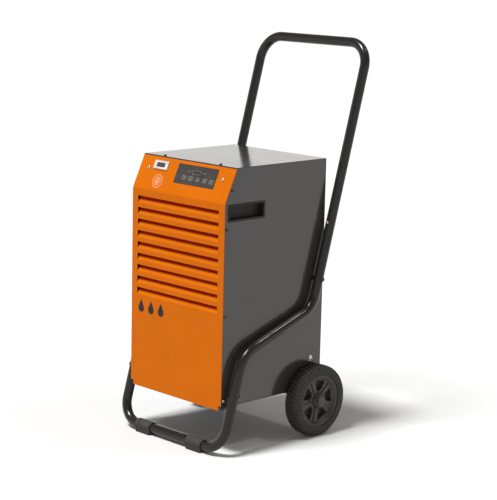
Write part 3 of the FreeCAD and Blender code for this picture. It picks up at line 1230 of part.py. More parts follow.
def foot_pad():
    """Rubber foot gripped around the foot bar, flat below."""
    centre = V(PAD_SPACING / 2 - PAD_LENGTH / 2, FOOT_Y, FOOT_Z)
    sleeve = cylinder(centre, X_AXIS, PAD_RADIUS, PAD_LENGTH)
    block = box(centre.x, centre.x + PAD_LENGTH, FOOT_Y - PAD_RADIUS + 2, FOOT_Y + PAD_RADIUS - 2, FLOOR_Z,
                FOOT_Z - 3)
    ends = [e for e in block.Edges if abs(e.tangentAt(e.FirstParameter).z) > 0.99]
    block = block.makeFillet(4.0, ends)
    pad = sleeve.fuse(block).removeSplitter()
    return pad.cut(cylinder(centre - X_AXIS * 5, X_AXIS, TUBE_R + 0.05, PAD_LENGTH + 10))


# ---------------------------------------------------------------- wheels


def revolved_x(points, x_shift):
    """Closed outline of (x, radius) points turned about the X axis through the axle."""
    corners = [V(x + x_shift, WHEEL_Y, AXLE_Z + r) for x, r in points]
    face = Part.Face(Part.makePolygon(corners + corners[:1]))
    return face.revolve(V(0, WHEEL_Y, AXLE_Z), X_AXIS, 360)


def tyre():
    """Solid rubber tyre of the right wheel, round at the shoulders, seated on the rim."""
    band = ring(V(TYRE_IN_X, WHEEL_Y, AXLE_Z), X_AXIS, WHEEL_RADIUS, TYRE_INNER_RADIUS, TYRE_WIDTH)
    outer = [e for e in band.Edges if e.Curve.TypeId == "Part::GeomCircle" and e.Curve.Radius > WHEEL_RADIUS - 1]
    band = band.makeFillet(TYRE_SHOULDER, outer)
    inner = [(bead_half(), TYRE_INNER_RADIUS - 2), (-bead_half(), TYRE_INNER_RADIUS - 2)]
    return band.cut(revolved_x(bead_points(0.0) + inner, WHEEL_X))


def bead_half():
    return RIM_WIDTH / 2 - 2.0


def bead_points(gap):
    """Outline of the rim's bead, gap below the tyre's groove."""
    low = TYRE_INNER_RADIUS - gap
    high = low + BEAD_HEIGHT
    wide = bead_half() - gap
    return [(-wide, low), (BEAD_HEIGHT - wide, high), (wide - BEAD_HEIGHT, high), (wide, low)]


def wheel_rim():
    """Moulded wheel: bead, ring, spokes and a long hub with a running bore on the axle."""
    half = RIM_WIDTH / 2
    low = TYRE_INNER_RADIUS - BEAD_FIT
    bead = revolved_x([(-half, low)] + bead_points(BEAD_FIT) + [
        (half, low), (half, RIM_INNER_RADIUS), (half - 3, RIM_INNER_RADIUS),
        (2.5, TYRE_INNER_RADIUS - RIM_WALL), (-2.5, TYRE_INNER_RADIUS - RIM_WALL),
        (3 - half, RIM_INNER_RADIUS), (-half, RIM_INNER_RADIUS)], WHEEL_X)
    hub = cylinder(V(WHEEL_X - HUB_LENGTH / 2, WHEEL_Y, AXLE_Z), X_AXIS, HUB_RADIUS, HUB_LENGTH)
    web = cylinder(V(WHEEL_X - WEB_THICKNESS / 2, WHEEL_Y, AXLE_Z), X_AXIS, TYRE_INNER_RADIUS - 1, WEB_THICKNESS)
    floor = WHEEL_X - WEB_THICKNESS / 2 + WEB_BACK
    step = 360 / SPOKE_COUNT
    pockets = []
    ribs = []
    for i in range(SPOKE_COUNT):
        pocket = Part.makeBox(WEB_THICKNESS, POCKET_WIDTH, POCKET_LENGTH, V(floor, -POCKET_WIDTH / 2, POCKET_START))
        pocket = pocket.makeFillet(POCKET_CORNER, [e for e in pocket.Edges
                                                   if abs(e.tangentAt(e.FirstParameter).x) > 0.99])
        pocket.rotate(V(0, 0, 0), X_AXIS, SPOKE_TURN + (i + 0.5) * step)
        pockets.append(pocket.translated(V(0, WHEEL_Y, AXLE_Z)))
        rib = Part.makeBox(RIB_DEPTH, RIB_WIDTH, TYRE_INNER_RADIUS - HUB_RADIUS,
                           V(WHEEL_X - RIB_DEPTH / 2, -RIB_WIDTH / 2, HUB_RADIUS - 5))
        rib.rotate(V(0, 0, 0), X_AXIS, SPOKE_TURN + i * step)
        ribs.append(rib.translated(V(0, WHEEL_Y, AXLE_Z)))
    bore = cylinder(V(WHEEL_X - HUB_LENGTH, WHEEL_Y, AXLE_Z), X_AXIS, AXLE_RADIUS + RUNNING_GAP, 2 * HUB_LENGTH)
    return fused([bead, hub, cut_all(web, pockets)] + ribs).cut(bore)


def axle():
    reach = WHEEL_X + HUB_LENGTH / 2 + CAP_GAP + 1.9
    return cylinder(V(-reach, WHEEL_Y, AXLE_Z), X_AXIS, AXLE_RADIUS, 2 * reach)


def axle_caps():
    """Push-on caps at the axle's ends, clear of the hubs."""
    start = WHEEL_X + HUB_LENGTH / 2 + CAP_GAP
    cap = cylinder(V(start, WHEEL_Y, AXLE_Z), X_AXIS, CAP_RADIUS, CAP_LENGTH)
    cap = cap.makeFillet(2.5, [e for e in cap.Edges if abs(e.CenterOfMass.x - start - CAP_LENGTH) < 0.01])
    cap = cap.cut(cylinder(V(start - 1, WHEEL_Y, AXLE_Z), X_AXIS, AXLE_RADIUS + 0.02, 2.95))
    return both_sides(cap)


def bracket_ears():
    return HALF - 38.0, HALF - 6.0


def bracket_bolts_places():
    low, high = bracket_ears()
    middle = (low + high) / 2
    return [(s * middle, WHEEL_Y + dy) for s in (-1, 1) for dy in (-17.0, 17.0)]


def axle_brackets():
    """Folded channels under the pan, with an ear on each side of the axle."""
    low, high = bracket_ears()
    bridge = box(low, high, WHEEL_Y - 27, WHEEL_Y + 27, PAN_BOTTOM - BRACKET_SHEET, PAN_BOTTOM)
    ears = []
    for x in (low, high - BRACKET_SHEET):
        ears.append(prism_x([(WHEEL_Y - 27, PAN_BOTTOM), (WHEEL_Y + 27, PAN_BOTTOM), (WHEEL_Y + 14, AXLE_Z - 8),
                             (WHEEL_Y + 8, AXLE_Z - 14), (WHEEL_Y - 8, AXLE_Z - 14), (WHEEL_Y - 14, AXLE_Z - 8)],
                            x, x + BRACKET_SHEET))
    holes = [cylinder(V(low - 5, WHEEL_Y, AXLE_Z), X_AXIS, AXLE_RADIUS + FIT_GAP / 2, 60)]
    for x, y in bracket_bolts_places():
        if x > 0:
            holes.append(cylinder(V(x, y, PAN_BOTTOM - 10), Z_AXIS, BOLT_HOLE_RADIUS, 20))
    return both_sides(cut_all(fused([bridge] + ears), holes))


def bracket_bolts():
    return [screw(V(x, y, PAN_BOTTOM - BRACKET_SHEET - 0.1), Z_AXIS * -1, BOLT_RADIUS - 1, BOLT_HEAD_RADIUS - 1.5, 3.4,
                  13.0) for x, y in bracket_bolts_places()]


# ---------------------------------------------------------------- assembly


def all_parts():
    """Every node's name with its solid or list of solids."""
    parts = {
        "casing_hood": casing_hood(), "front_panel": front_panel(), "rear_panel": rear_panel(),
        "base_pan": base_pan(), "shelf_plate": shelf_plate(),
        "grip_pocket_right": grip_pocket(), "grip_pocket_left": mirrored(grip_pocket()),
        "hood_screws": hood_screws(), "side_bolts": side_bolts(),
        "rear_screws": rear_screws() + guard_screws(), "panel_screws": panel_screws(),
        "control_overlay": control_overlay(), "display_window": display_window(),
        "indicator_lamps": indicator_lamps(), "control_board": control_board(),
        "hour_counter_case": hour_counter_case(), "hour_counter_window": hour_counter_window(),
        "badge_disc": badge_disc(), "front_decal": front_decal(),
        "filter_cassette": filter_cassette(),
        "evaporator_fins": coil_fins(EVAPORATOR_FRONT, EVAPORATOR_DEPTH, 1),
        "evaporator_tubes": coil_tubes(EVAPORATOR_FRONT, EVAPORATOR_DEPTH, 1),
        "condenser_fins": coil_fins(CONDENSER_FRONT, CONDENSER_DEPTH, 2),
        "condenser_tubes": coil_tubes(CONDENSER_FRONT, CONDENSER_DEPTH, 2),
        "fan_shroud": fan_shroud(), "fan_rotor": fan_rotor(), "fan_motor": fan_motor(), "fan_guard": fan_guard(),
        "compressor": compressor(), "compressor_grommets": compressor_grommets(),
        "compressor_bolts": compressor_bolts(), "refrigerant_pipes": refrigerant_pipes(),
        "filter_drier": filter_drier(), "drip_tray": drip_tray(), "drain_tube": drain_tube(),
        "water_tank": water_tank(), "tank_float": tank_float(), "float_switch": float_switch(),
        "mains_inlet": mains_inlet(),
        "handle_tube": handle_tube(), "frame_tube": frame_tube(), "joint_sleeves": joint_sleeves(),
        "joint_bolts": joint_bolts(), "frame_bolts": frame_bolts(), "frame_spacers": frame_spacers(),
        "foot_pad_right": foot_pad(), "foot_pad_left": mirrored(foot_pad()),
        "tyre_right": tyre(), "tyre_left": mirrored(tyre()),
        "wheel_rim_right": wheel_rim(), "wheel_rim_left": mirrored(wheel_rim()),
        "axle": axle(), "axle_caps": axle_caps(), "axle_brackets": axle_brackets(), "bracket_bolts": bracket_bolts(),
    }
    for i in range(KEY_COUNT):
        parts[f"key_{i + 1}"] = key(i)
    return parts


def main():
    os.makedirs("parts", exist_ok=True)
    parts = all_parts()
    for name, shape in parts.items():
        solids = shape if isinstance(shape, list) else [shape]
        whole = Part.makeCompound(solids) if len(solids) > 1 else solids[0]
        placed = whole.translated(ROW_SHIFT)
        placed.exportStep(f"parts/{name}.step")
        print(f"{name}: {len(placed.Solids)} solid(s), volume {placed.Volume:.0f}, valid {placed.isValid()}")
    print(f"{len(parts)} nodes, row shift {ROW_SHIFT}")


main()
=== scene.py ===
"""Portable commercial dehumidifier on a tube trolley: the finished surfaces over the working model."""

import json
import math

import bmesh
import bpy
from mathutils import Matrix, Vector


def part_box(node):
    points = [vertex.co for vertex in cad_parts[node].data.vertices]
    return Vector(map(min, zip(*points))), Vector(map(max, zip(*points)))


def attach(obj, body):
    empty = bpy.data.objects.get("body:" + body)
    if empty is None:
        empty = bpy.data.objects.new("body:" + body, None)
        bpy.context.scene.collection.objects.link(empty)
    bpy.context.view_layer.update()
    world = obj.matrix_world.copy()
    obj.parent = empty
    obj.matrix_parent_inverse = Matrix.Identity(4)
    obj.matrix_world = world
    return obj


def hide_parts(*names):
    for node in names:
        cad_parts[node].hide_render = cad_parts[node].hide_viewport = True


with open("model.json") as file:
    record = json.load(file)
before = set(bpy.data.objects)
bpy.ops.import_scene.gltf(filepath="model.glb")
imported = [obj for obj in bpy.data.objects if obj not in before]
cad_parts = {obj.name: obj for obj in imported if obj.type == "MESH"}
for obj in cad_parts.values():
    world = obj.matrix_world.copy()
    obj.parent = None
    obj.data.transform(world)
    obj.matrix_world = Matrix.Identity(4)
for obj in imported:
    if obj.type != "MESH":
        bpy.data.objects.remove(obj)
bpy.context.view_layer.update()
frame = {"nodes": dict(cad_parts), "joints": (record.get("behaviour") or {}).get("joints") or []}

bl_info = {
    "name": "Trolley Dehumidifier",
    "version": (1, 0, 0),
    "blender": (4, 5, 0),
    "location": "3D View > Sidebar > Dehumidifier",
    "description": "Builds the finished pieces and paint of a portable commercial dehumidifier",
    "category": "Object",
}

MM = 0.001
ROOT = "trolley"
SIDES = ("right", "left")
PRINT_FILM = 0.06 * MM
MERGE = 0.01 * MM
KEYS = ("key_1", "key_2", "key_3", "key_4", "key_5")


# ---------------------------------------------------------------- settings


def length(name, description, default):
    """Property for a size in metres."""
    return bpy.props.FloatProperty(name=name, description=description, default=default, min=0.0, precision=4,
                                   subtype="DISTANCE", unit="LENGTH")


def angle(name, description, degrees):
    """Property for an angle."""
    return bpy.props.FloatProperty(name=name, description=description, default=math.radians(degrees),
                                   subtype="ANGLE")


def amount(name, description, default):
    """Property for a plain number."""
    return bpy.props.FloatProperty(name=name, description=description, default=default)


def count(name, description, default):
    """Property for a number of like things."""
    return bpy.props.IntProperty(name=name, description=description, default=default, min=3, max=90)


def point(name, description, default):
    """Property for a point in space."""
    return bpy.props.FloatVectorProperty(name=name, description=description, default=default, size=3,
                                         precision=5, subtype="TRANSLATION", unit="LENGTH")


def colour(name, description, default):
    """Property for a linear colour."""
    return bpy.props.FloatVectorProperty(name=name, description=description, default=default, size=3,
                                         min=0.0, max=1.0, subtype="COLOR")


class DehumidifierPaint(bpy.types.PropertyGroup):
    orange: colour("Front orange", "Powder coat of the front panel", (0.48, 0.106, 0.0006))
    # Painted shade: colour of the shadow inside the louvre slots, painted into the front's coat
    slot: colour("Slot red", "Shaded coat inside the louvre slots", (0.40, 0.010, 0.0008))
    grey: colour("Hood grey", "Powder coat of the hood and rear", (0.033, 0.031, 0.028))
    black: colour("Tube black", "Gloss paint of the trolley's tubes", (0.0125, 0.0108, 0.0098))
    plastic: colour("Moulding black", "Grained mouldings", (0.014, 0.012, 0.011))
    rubber: colour("Rubber", "Tyres and foot pads", (0.026, 0.022, 0.020))
    overlay: colour("Keypad grey", "Film of the control panel", (0.036, 0.033, 0.030))
    print_ink: colour("Keypad print", "Symbols printed on the keypad", (0.26, 0.24, 0.21))
    white: colour("Counter white", "Bezel of the hour counter", (0.50, 0.49, 0.47))


class DehumidifierDetail(bpy.types.PropertyGroup):
    sheet_edge: length("Sheet edge", "Rounding of cut sheet edges", 0.35 * MM)
    fold_radius: length("Fold radius", "Rounding of the fold below the control face", 3.0 * MM)
    # Painted shade: depth and height from which the shadow inside the louvre slots is painted into the
    # front's coat
    slot_shade: length("Slot shade", "Depth behind the front at which the louvre slots darken", 6.2 * MM)
    slot_start: length("Slot start", "Height below the fold from which slots may darken", 7.0 * MM)
    tube_radius: length("Tube radius", "Outer radius of the trolley's tubes", 14.0 * MM)
    tube_wall: length("Tube wall", "Wall of the trolley's tubes", 1.5 * MM)
    tube_lean: angle("Tube lean", "Lean of the handle and of the frame's upper and lower runs", 15.4)
    upper_drop: length("Upper drop", "Height of the frame's upper bend below the handle joint", 271.0 * MM)
    lower_rise: length("Lower rise", "Height of the frame's lower bend above the foot run", 263.5 * MM)
    handle_bend: length("Handle bend", "Bend radius of the handle's corners", 70.0 * MM)
    upper_bend: length("Upper bend", "Bend radius of the frame below the handle joint", 75.0 * MM)
    lower_bend: length("Lower bend", "Bend radius of the frame beside the case", 95.0 * MM)
    foot_bend: length("Foot bend", "Bend radius of the frame's front corners", 65.0 * MM)
    groove_depth: length("Groove depth", "Depth of the tyre's tread", 2.0 * MM)
    tread_blocks: count("Tread blocks", "Blocks round each tyre", 54)
    spokes: count("Spokes", "Ribs of each wheel", 5)
    first_spoke: angle("First spoke", "Angle of the first rib from upright", 25.0)
    rib_width: length("Rib width", "Width of a wheel's rib", 5.0 * MM)
    print_line: length("Print line", "Width of the printed outlines", 0.7 * MM)
    digit_height: length("Digit height", "Type size of the hour counter's digits", 6.4 * MM)
    digit_pitch: length("Digit pitch", "Distance between the hour counter's digits", 5.6 * MM)


class DehumidifierStage(bpy.types.PropertyGroup):
    lens: amount("Lens", "Focal length in millimetres", 116.6)
    floor_size: length("Floor size", "Edge of the floor", 220.0)
    key_power: amount("Key light", "Strength of the main light", 4.7)
    key_spread: angle("Key spread", "Angle over which the main light spreads", 15.0)
    key_place: point("Key place", "Where the main light shines from", (-0.4, -1.75, 4.2))
    glint_power: amount("Glint light", "Strength of the small bright light", 0.35)
    glint_spread: angle("Glint spread", "Angle over which the small bright light spreads", 1.5)
    glint_place: point("Glint place", "Where the small bright light shines from", (1.71, 1.44, 3.92))
    sky: colour("Surround", "Colour of the surround", (1.0, 0.975, 0.945))
    horizon: amount("Horizon", "Strength of the surround up to the height where it fades", 1.0)
    zenith: amount("Zenith", "Strength of the surround overhead", 0.28)
    fade_low: amount("Fade start", "Height in the surround, from 0 to 1, where it starts to fade", 0.23)
    fade_high: amount("Fade end", "Height in the surround, from 0 to 1, where the fade ends", 0.36)
    view_place: point("View place", "Place of the camera", (3.28653, -3.22738, 1.40053))
    view_turn: angle("View turn", "Turn of the camera about the vertical", 45.355)
    view_dip: angle("View dip", "Angle by which the camera looks down", 10.819)
    view_roll: angle("View roll", "Roll of the camera", 1.368)


def settings():
    """Paint, detail and stage settings of the scene."""
    scene = bpy.context.scene
    return scene.dehumidifier_paint, scene.dehumidifier_detail, scene.dehumidifier_stage


# ---------------------------------------------------------------- modelling helpers


def clear_selection():
    """Object mode, with nothing selected."""
    if bpy.context.mode != "OBJECT":
        bpy.ops.object.mode_set(mode="OBJECT")
    bpy.ops.object.select_all(action="DESELECT")


def activate(piece):
    """Object mode, with only this piece selected and active."""
    clear_selection()
    piece.select_set(True)
    bpy.context.view_layer.objects.active = piece


def edit(piece, kind="FACE"):
    """Edit mode on a piece, choosing faces, edges or corners."""
    activate(piece)
    bpy.ops.object.mode_set(mode="EDIT")
    bpy.ops.mesh.select_mode(type=kind)


def pick(piece, test, kind="FACE"):
    """Edit mode, with only the faces, edges or corners that pass the test selected."""
    edit(piece, kind)
    bpy.ops.mesh.select_all(action="DESELECT")
    mesh = bmesh.from_edit_mesh(piece.data)
    mesh.normal_update()
    for item in {"FACE": mesh.faces, "EDGE": mesh.edges, "VERT": mesh.verts}[kind]:
        if test(item):
            item.select_set(True)
    mesh.select_flush_mode()
    bmesh.update_edit_mesh(piece.data)


def rename(piece, name):
    """Gives a piece and its mesh one name."""
    piece.name = name
    piece.data.name = name
    return piece


def apply_place(piece):
    """Puts a piece's place, turn and scale into its mesh."""
    activate(piece)
    bpy.ops.object.transform_apply(location=True, rotation=True, scale=True)


def soften(piece, width, segments=2, angle=30.0):
    """Rounds every edge sharper than the angle."""
    activate(piece)
    bevel = piece.modifiers.new("Edges", "BEVEL")
    bevel.width = width
    bevel.segments = segments
    bevel.limit_method = "ANGLE"
    bevel.angle_limit = math.radians(angle)
    bevel.use_clamp_overlap = True
    bpy.ops.object.modifier_apply(modifier=bevel.name)


def copy_of(node, name):
    """A merged copy of a CAD node, with its flat faces joined."""
    source = frame["nodes"][node]
    piece = bpy.data.objects.new(name, source.data.copy())
    bpy.context.scene.collection.objects.link(piece)
    rename(piece, name)
    activate(piece)
    if piece.data.has_custom_normals:
        bpy.ops.mesh.customdata_custom_splitnormals_clear()
    edit(piece, "VERT")
    bpy.ops.mesh.select_all(action="SELECT")
    bpy.ops.mesh.remove_doubles(threshold=MERGE)
    bpy.ops.mesh.dissolve_limited(angle_limit=math.radians(0.6), use_dissolve_boundaries=False, delimit=set())
    bpy.ops.object.mode_set(mode="OBJECT")
    return piece


def finish(piece, name, body, material, nodes=()):
    """Names, smooths and paints a piece, and lets it ride on a body and stand for CAD nodes."""
    rename(piece, name)
    apply_place(piece)
    bpy.ops.object.shade_smooth_by_angle(angle=math.radians(32.0))
    weigh = piece.modifiers.new("Flat Faces", "WEIGHTED_NORMAL")
    weigh.keep_sharp = True
    bpy.ops.object.modifier_apply(modifier=weigh.name)
    piece.data.materials.clear()
    piece.data.materials.append(MATERIALS[material])
    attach(piece, body)
    if nodes:
        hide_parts(*nodes)
    return piece


def refinish(node, name, body, material, edge, segments=2):
    """Puts a copy with rounded edges in the place of a CAD node."""
    piece = copy_of(node, name)
    soften(piece, edge, segments)
    return finish(piece, name, body, material, [node])


def join(pieces):
    """Joins several pieces into the first."""
    clear_selection()
    for piece in pieces:
        piece.select_set(True)
    bpy.context.view_layer.objects.active = pieces[0]
    bpy.ops.object.join()
    return pieces[0]


def mirrored(piece):
    """A copy with its own mesh, on the other side of the case's middle plane."""
    copy = bpy.data.objects.new(piece.name + "_copy", piece.data.copy())
    bpy.context.scene.collection.objects.link(copy)
    copy.data.transform(Matrix.Scale(-1, 4, (1, 0, 0)))
    edit(copy)
    bpy.ops.mesh.select_all(action="SELECT")
    bpy.ops.mesh.flip_normals()
    bpy.ops.object.mode_set(mode="OBJECT")
    return copy


def facing(direction):
    """Rotation that turns local Z towards a direction."""
    return Vector(direction).to_track_quat("Z", "Y").to_euler()


def add_box(low, high):
    """Box between two corners."""
    clear_selection()
    bpy.ops.mesh.primitive_cube_add(size=1.0, location=(low + high) / 2, scale=high - low)
    piece = bpy.context.active_object
    apply_place(piece)
    return piece


def clean_normals(piece):
    """Merges doubled corners and turns every face outwards."""
    edit(piece, "VERT")
    bpy.ops.mesh.select_all(action="SELECT")
    bpy.ops.mesh.remove_doubles(threshold=MERGE)
    bpy.ops.mesh.normals_make_consistent(inside=False)
    bpy.ops.object.mode_set(mode="OBJECT")


def bent_tube(corners, bends, radius, wall, sides=40):
    """Tube through the corners: a ring extruded along each run and spun round each bend."""
    clear_selection()
    corners = [Vector(c) for c in corners]
    bpy.ops.mesh.primitive_circle_add(vertices=sides, radius=radius, location=corners[0],
                                      rotation=facing(corners[1] - corners[0]))
    piece = bpy.context.active_object
    apply_place(piece)
    edit(piece, "EDGE")
    bpy.ops.mesh.select_all(action="SELECT")
    place = corners[0]
    for corner, following, bend in zip(corners[1:-1], corners[2:], bends):
        back = (place - corner).normalized()
        ahead = (following - corner).normalized()
        half = back.angle(ahead) / 2
        first = corner + back * bend / math.tan(half)
        centre = corner + (back + ahead).normalized() * bend / math.sin(half)
        turn = math.pi - 2 * half
        bpy.ops.mesh.extrude_region_move(TRANSFORM_OT_translate={"value": first - place})
        bpy.ops.mesh.spin(steps=max(6, round(math.degrees(turn) / 4)), angle=turn, center=centre,
                          axis=ahead.cross(-back).normalized())
        place = corner + ahead * bend / math.tan(half)
    bpy.ops.mesh.extrude_region_move(TRANSFORM_OT_translate={"value": corners[-1] - place})
    bpy.ops.object.mode_set(mode="OBJECT")
    clean_normals(piece)
    shell = piece.modifiers.new("Wall", "SOLIDIFY")
    shell.thickness = wall
    shell.offset = -1.0
    bpy.ops.object.modifier_apply(modifier=shell.name)
    return piece


def turned(profile, centre, steps):
    """Closed outline of (offset, radius) points spun about the X axis through the centre."""
    clear_selection()
    bpy.ops.mesh.primitive_circle_add(vertices=len(profile), radius=1.0)
    piece = bpy.context.active_object
    for vertex, (offset, radius) in zip(piece.data.vertices, profile):
        vertex.co = Vector(centre) + Vector((offset, 0, radius))
    edit(piece, "EDGE")
    bpy.ops.mesh.select_all(action="SELECT")
    bpy.ops.mesh.spin(steps=steps, angle=2 * math.pi, center=centre, axis=(1, 0, 0))
    bpy.ops.object.mode_set(mode="OBJECT")
    clean_normals(piece)
    return piece


def cut_with(piece, cutters):
    """Cuts the joined cutters out of a piece and removes them."""
    cutter = join(cutters)
    activate(piece)
    cut = piece.modifiers.new("Cut", "BOOLEAN")
    cut.operation = "DIFFERENCE"
    cut.solver = "EXACT"
    cut.object = cutter
    bpy.ops.object.modifier_apply(modifier=cut.name)
    bpy.data.objects.remove(cutter, do_unlink=True)


# ---------------------------------------------------------------- flat prints and the control face


def face_axes():
    """Across, up-slope and outward directions of the slanted control face."""
    press = next(joint for joint in frame["joints"] if joint["name"] == "key_1_press")
    outward = -Vector(press["axis"]).normalized()
    across = Vector((1, 0, 0))
    return across, outward.cross(across).normalized(), outward


def on_face(piece, node, lift=0.0):
    """Moves a piece drawn flat at the world's origin to the middle of a node on the control face."""
    low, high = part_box(node)
    across, up, outward = face_axes()
    top = max(v.co.dot(outward) for v in frame["nodes"][node].data.vertices)
    centre = (low + high) / 2
    centre += outward * (top - centre.dot(outward) + lift)
    turn = Matrix((across, up, outward)).transposed().to_4x4()
    piece.data.transform(Matrix.Translation(centre) @ turn)
    piece.data.update()
    return piece


def raised(piece):
    """Pulls a flat drawing, open in edit mode, up into a closed film."""
    bpy.ops.mesh.select_all(action="SELECT")
    bpy.ops.mesh.extrude_region_move(TRANSFORM_OT_translate={"value": (0, 0, PRINT_FILM)})
    bpy.ops.mesh.select_all(action="SELECT")
    bpy.ops.mesh.normals_make_consistent(inside=False)
    bpy.ops.object.mode_set(mode="OBJECT")
    return piece


def round_rectangle(width, height, radius, segments):
    """Rectangle with round corners, left open in edit mode."""
    clear_selection()
    bpy.ops.mesh.primitive_plane_add(size=1.0)
    piece = bpy.context.active_object
    piece.scale = (width, height, 1)
    apply_place(piece)
    edit(piece, "VERT")
    bpy.ops.mesh.select_all(action="SELECT")
    bpy.ops.mesh.bevel(offset=radius, offset_type="OFFSET", segments=segments, affect="VERTICES")
    return piece


def hollowed(piece, line):
    """Leaves only a line's width inside the outline of a flat drawing."""
    bpy.ops.mesh.select_mode(type="FACE")
    bpy.ops.mesh.select_all(action="SELECT")
    bpy.ops.mesh.inset(thickness=line)
    bpy.ops.mesh.delete(type="FACE")
    return piece


def flat_stroke(width, height):
    """Straight stroke with rounded ends, drawn flat on the origin."""
    return raised(round_rectangle(width, height, min(width, height) * 0.4, 2))


def flat_frame(width, height, radius, line):
    """Rounded outline, drawn flat on the origin."""
    return raised(hollowed(round_rectangle(width, height, radius, 5), line))


def flat_ring(radius, line, sides=40):
    """Ring, drawn flat on the origin."""
    clear_selection()
    bpy.ops.mesh.primitive_circle_add(vertices=sides, radius=radius, fill_type="NGON")
    piece = bpy.context.active_object
    edit(piece)
    return raised(hollowed(piece, line))


def flat_shape(points):
    """Filled outline, drawn flat on the origin."""
    clear_selection()
    bpy.ops.mesh.primitive_circle_add(vertices=len(points), radius=1.0, fill_type="NGON")
    piece = bpy.context.active_object
    for vertex, (x, y) in zip(piece.data.vertices, points):
        vertex.co = (x, y, 0)
    edit(piece)
    return raised(piece)


def drop_outline(radius, height, steps=18):
    """Points of a water drop whose round belly is centred on the origin."""
    half = math.acos(radius / height)
    start = math.pi / 2 + half
    turn = 2 * math.pi - 2 * half
    points = [(radius * math.cos(start + turn * i / steps), radius * math.sin(start + turn * i / steps))
              for i in range(steps + 1)]
    return points + [(0, height)]


# ---------------------------------------------------------------- shader nodes and shared groups


def range_node(tree, source, low, high, start=0.3, end=0.7):
    """Maps start to end on to low to high. The middle of a noise runs from 0.3 to 0.7."""
    node = tree.nodes.new("ShaderNodeMapRange")
    node.inputs["From Min"].default_value = start
    node.inputs["From Max"].default_value = end
    node.inputs["To Min"].default_value = low
    node.inputs["To Max"].default_value = high
    tree.links.new(source, node.inputs["Value"])
    return node.outputs["Result"]


def mix_node(tree, factor, first, second):
    """Colour mix. first and second are sockets or colours."""
    node = tree.nodes.new("ShaderNodeMix")
    node.data_type = "RGBA"
    tree.links.new(factor, node.inputs["Factor"])
    for value, socket in ((first, node.inputs[6]), (second, node.inputs[7])):
        if hasattr(value, "is_output"):
            tree.links.new(value, socket)
        else:
            socket.default_value = (*value, 1.0)
    return node.outputs[2]


def math_node(tree, operation, first, second):
    """One step of arithmetic on two values."""
    node = tree.nodes.new("ShaderNodeMath")
    node.operation = operation
    tree.links.new(first, node.inputs[0])
    tree.links.new(second, node.inputs[1])
    return node.outputs[0]


def noise_node(tree, place, scale=5.0, detail=2.0, rough=0.5):
    """Noise whose scale is a number or a socket."""
    node = tree.nodes.new("ShaderNodeTexNoise")
    node.inputs["Detail"].default_value = detail
    node.inputs["Roughness"].default_value = rough
    tree.links.new(place, node.inputs["Vector"])
    if hasattr(scale, "is_output"):
        tree.links.new(scale, node.inputs["Scale"])
    else:
        node.inputs["Scale"].default_value = scale
    return node.outputs["Fac"]


def split_node(tree, vector):
    """The X, Y and Z of a vector."""
    node = tree.nodes.new("ShaderNodeSeparateXYZ")
    tree.links.new(vector, node.inputs["Vector"])
    return node.outputs


def own_place(tree):
    """A piece's own coordinates."""
    return tree.nodes.new("ShaderNodeTexCoord").outputs["Object"]


def relief(tree, shader, height, strength, depth):
    """Bump of a given strength and depth on a shader."""
    bump = tree.nodes.new("ShaderNodeBump")
    bump.inputs["Strength"].default_value = strength
    bump.inputs["Distance"].default_value = depth
    tree.links.new(height, bump.inputs["Height"])
    tree.links.new(bump.outputs["Normal"], shader.inputs["Normal"])


def new_group(name, inputs, outputs):
    """Empty node group whose inputs and outputs are values."""
    group = bpy.data.node_groups.new(name, "ShaderNodeTree")
    for label, default in inputs.items():
        socket = group.interface.new_socket(name=label, in_out="INPUT", socket_type="NodeSocketFloat")
        socket.default_value = default
    for label in outputs:
        group.interface.new_socket(name=label, in_out="OUTPUT", socket_type="NodeSocketFloat")
    return group, group.nodes.new("NodeGroupInput").outputs, group.nodes.new("NodeGroupOutput").inputs


def coat_group():
    """Orange-peel height and slow mottling of a powder coat or gloss paint."""
    tree, given, result = new_group("Coat Surface", {"Peel Size": 900.0, "Mottle Size": 9.0},
                                    ("Height", "Mottle"))
    place = own_place(tree)
    tree.links.new(noise_node(tree, place, given["Peel Size"]), result["Height"])
    tree.links.new(noise_node(tree, place, given["Mottle Size"], 5.0, 0.6), result["Mottle"])


def dust_group():
    """Mask of settled dust: more on faces that look up and low on the object, broken by noise."""
    tree, given, result = new_group("Settled Dust", {"Amount": 0.3}, ("Mask",))
    surface = tree.nodes.new("ShaderNodeNewGeometry")
    place = own_place(tree)
    tilt = split_node(tree, surface.outputs["Normal"])["Z"]
    upward = range_node(tree, tilt, 0.25, 1.0, -0.1, 1.0)
    low = range_node(tree, split_node(tree, place)["Z"], 0.35, 1.0, 0.45, 0.0)
    broken = range_node(tree, noise_node(tree, place, 55.0, 8.0, 0.72), 0.0, 1.0, 0.42, 0.75)
    mask = math_node(tree, "MULTIPLY", math_node(tree, "MULTIPLY", upward, low), broken)
    mask = math_node(tree, "MULTIPLY", mask, given["Amount"])
    mask.node.use_clamp = True
    tree.links.new(mask, result["Mask"])


def grain_group():
    """Leather-like grain of moulded plastic and rubber: pebbles and fine pits."""
    tree, given, result = new_group("Moulded Grain", {"Size": 1400.0}, ("Height", "Tone"))
    place = own_place(tree)
    pebble = tree.nodes.new("ShaderNodeTexVoronoi")
    pebble.feature = "SMOOTH_F1"
    tree.links.new(place, pebble.inputs["Vector"])
    tree.links.new(given["Size"], pebble.inputs["Scale"])
    fine = noise_node(tree, place, given["Size"], 4.0)
    tree.links.new(math_node(tree, "MULTIPLY", pebble.outputs["Distance"], fine), result["Height"])
    tree.links.new(noise_node(tree, place, 22.0, 6.0), result["Tone"])


def group_node(material, name, label, value):
    """Places a shared group in a material, with one input at the material's own value."""
    node = material.node_tree.nodes.new("ShaderNodeGroup")
    node.node_tree = bpy.data.node_groups[name]
    node.inputs[label].default_value = value
    return node.outputs


# ---------------------------------------------------------------- materials


def new_material(name):
    """A material, its shader and its node tree."""
    material = bpy.data.materials.new(name)
    material.use_nodes = True
    return material, material.node_tree.nodes["Principled BSDF"], material.node_tree


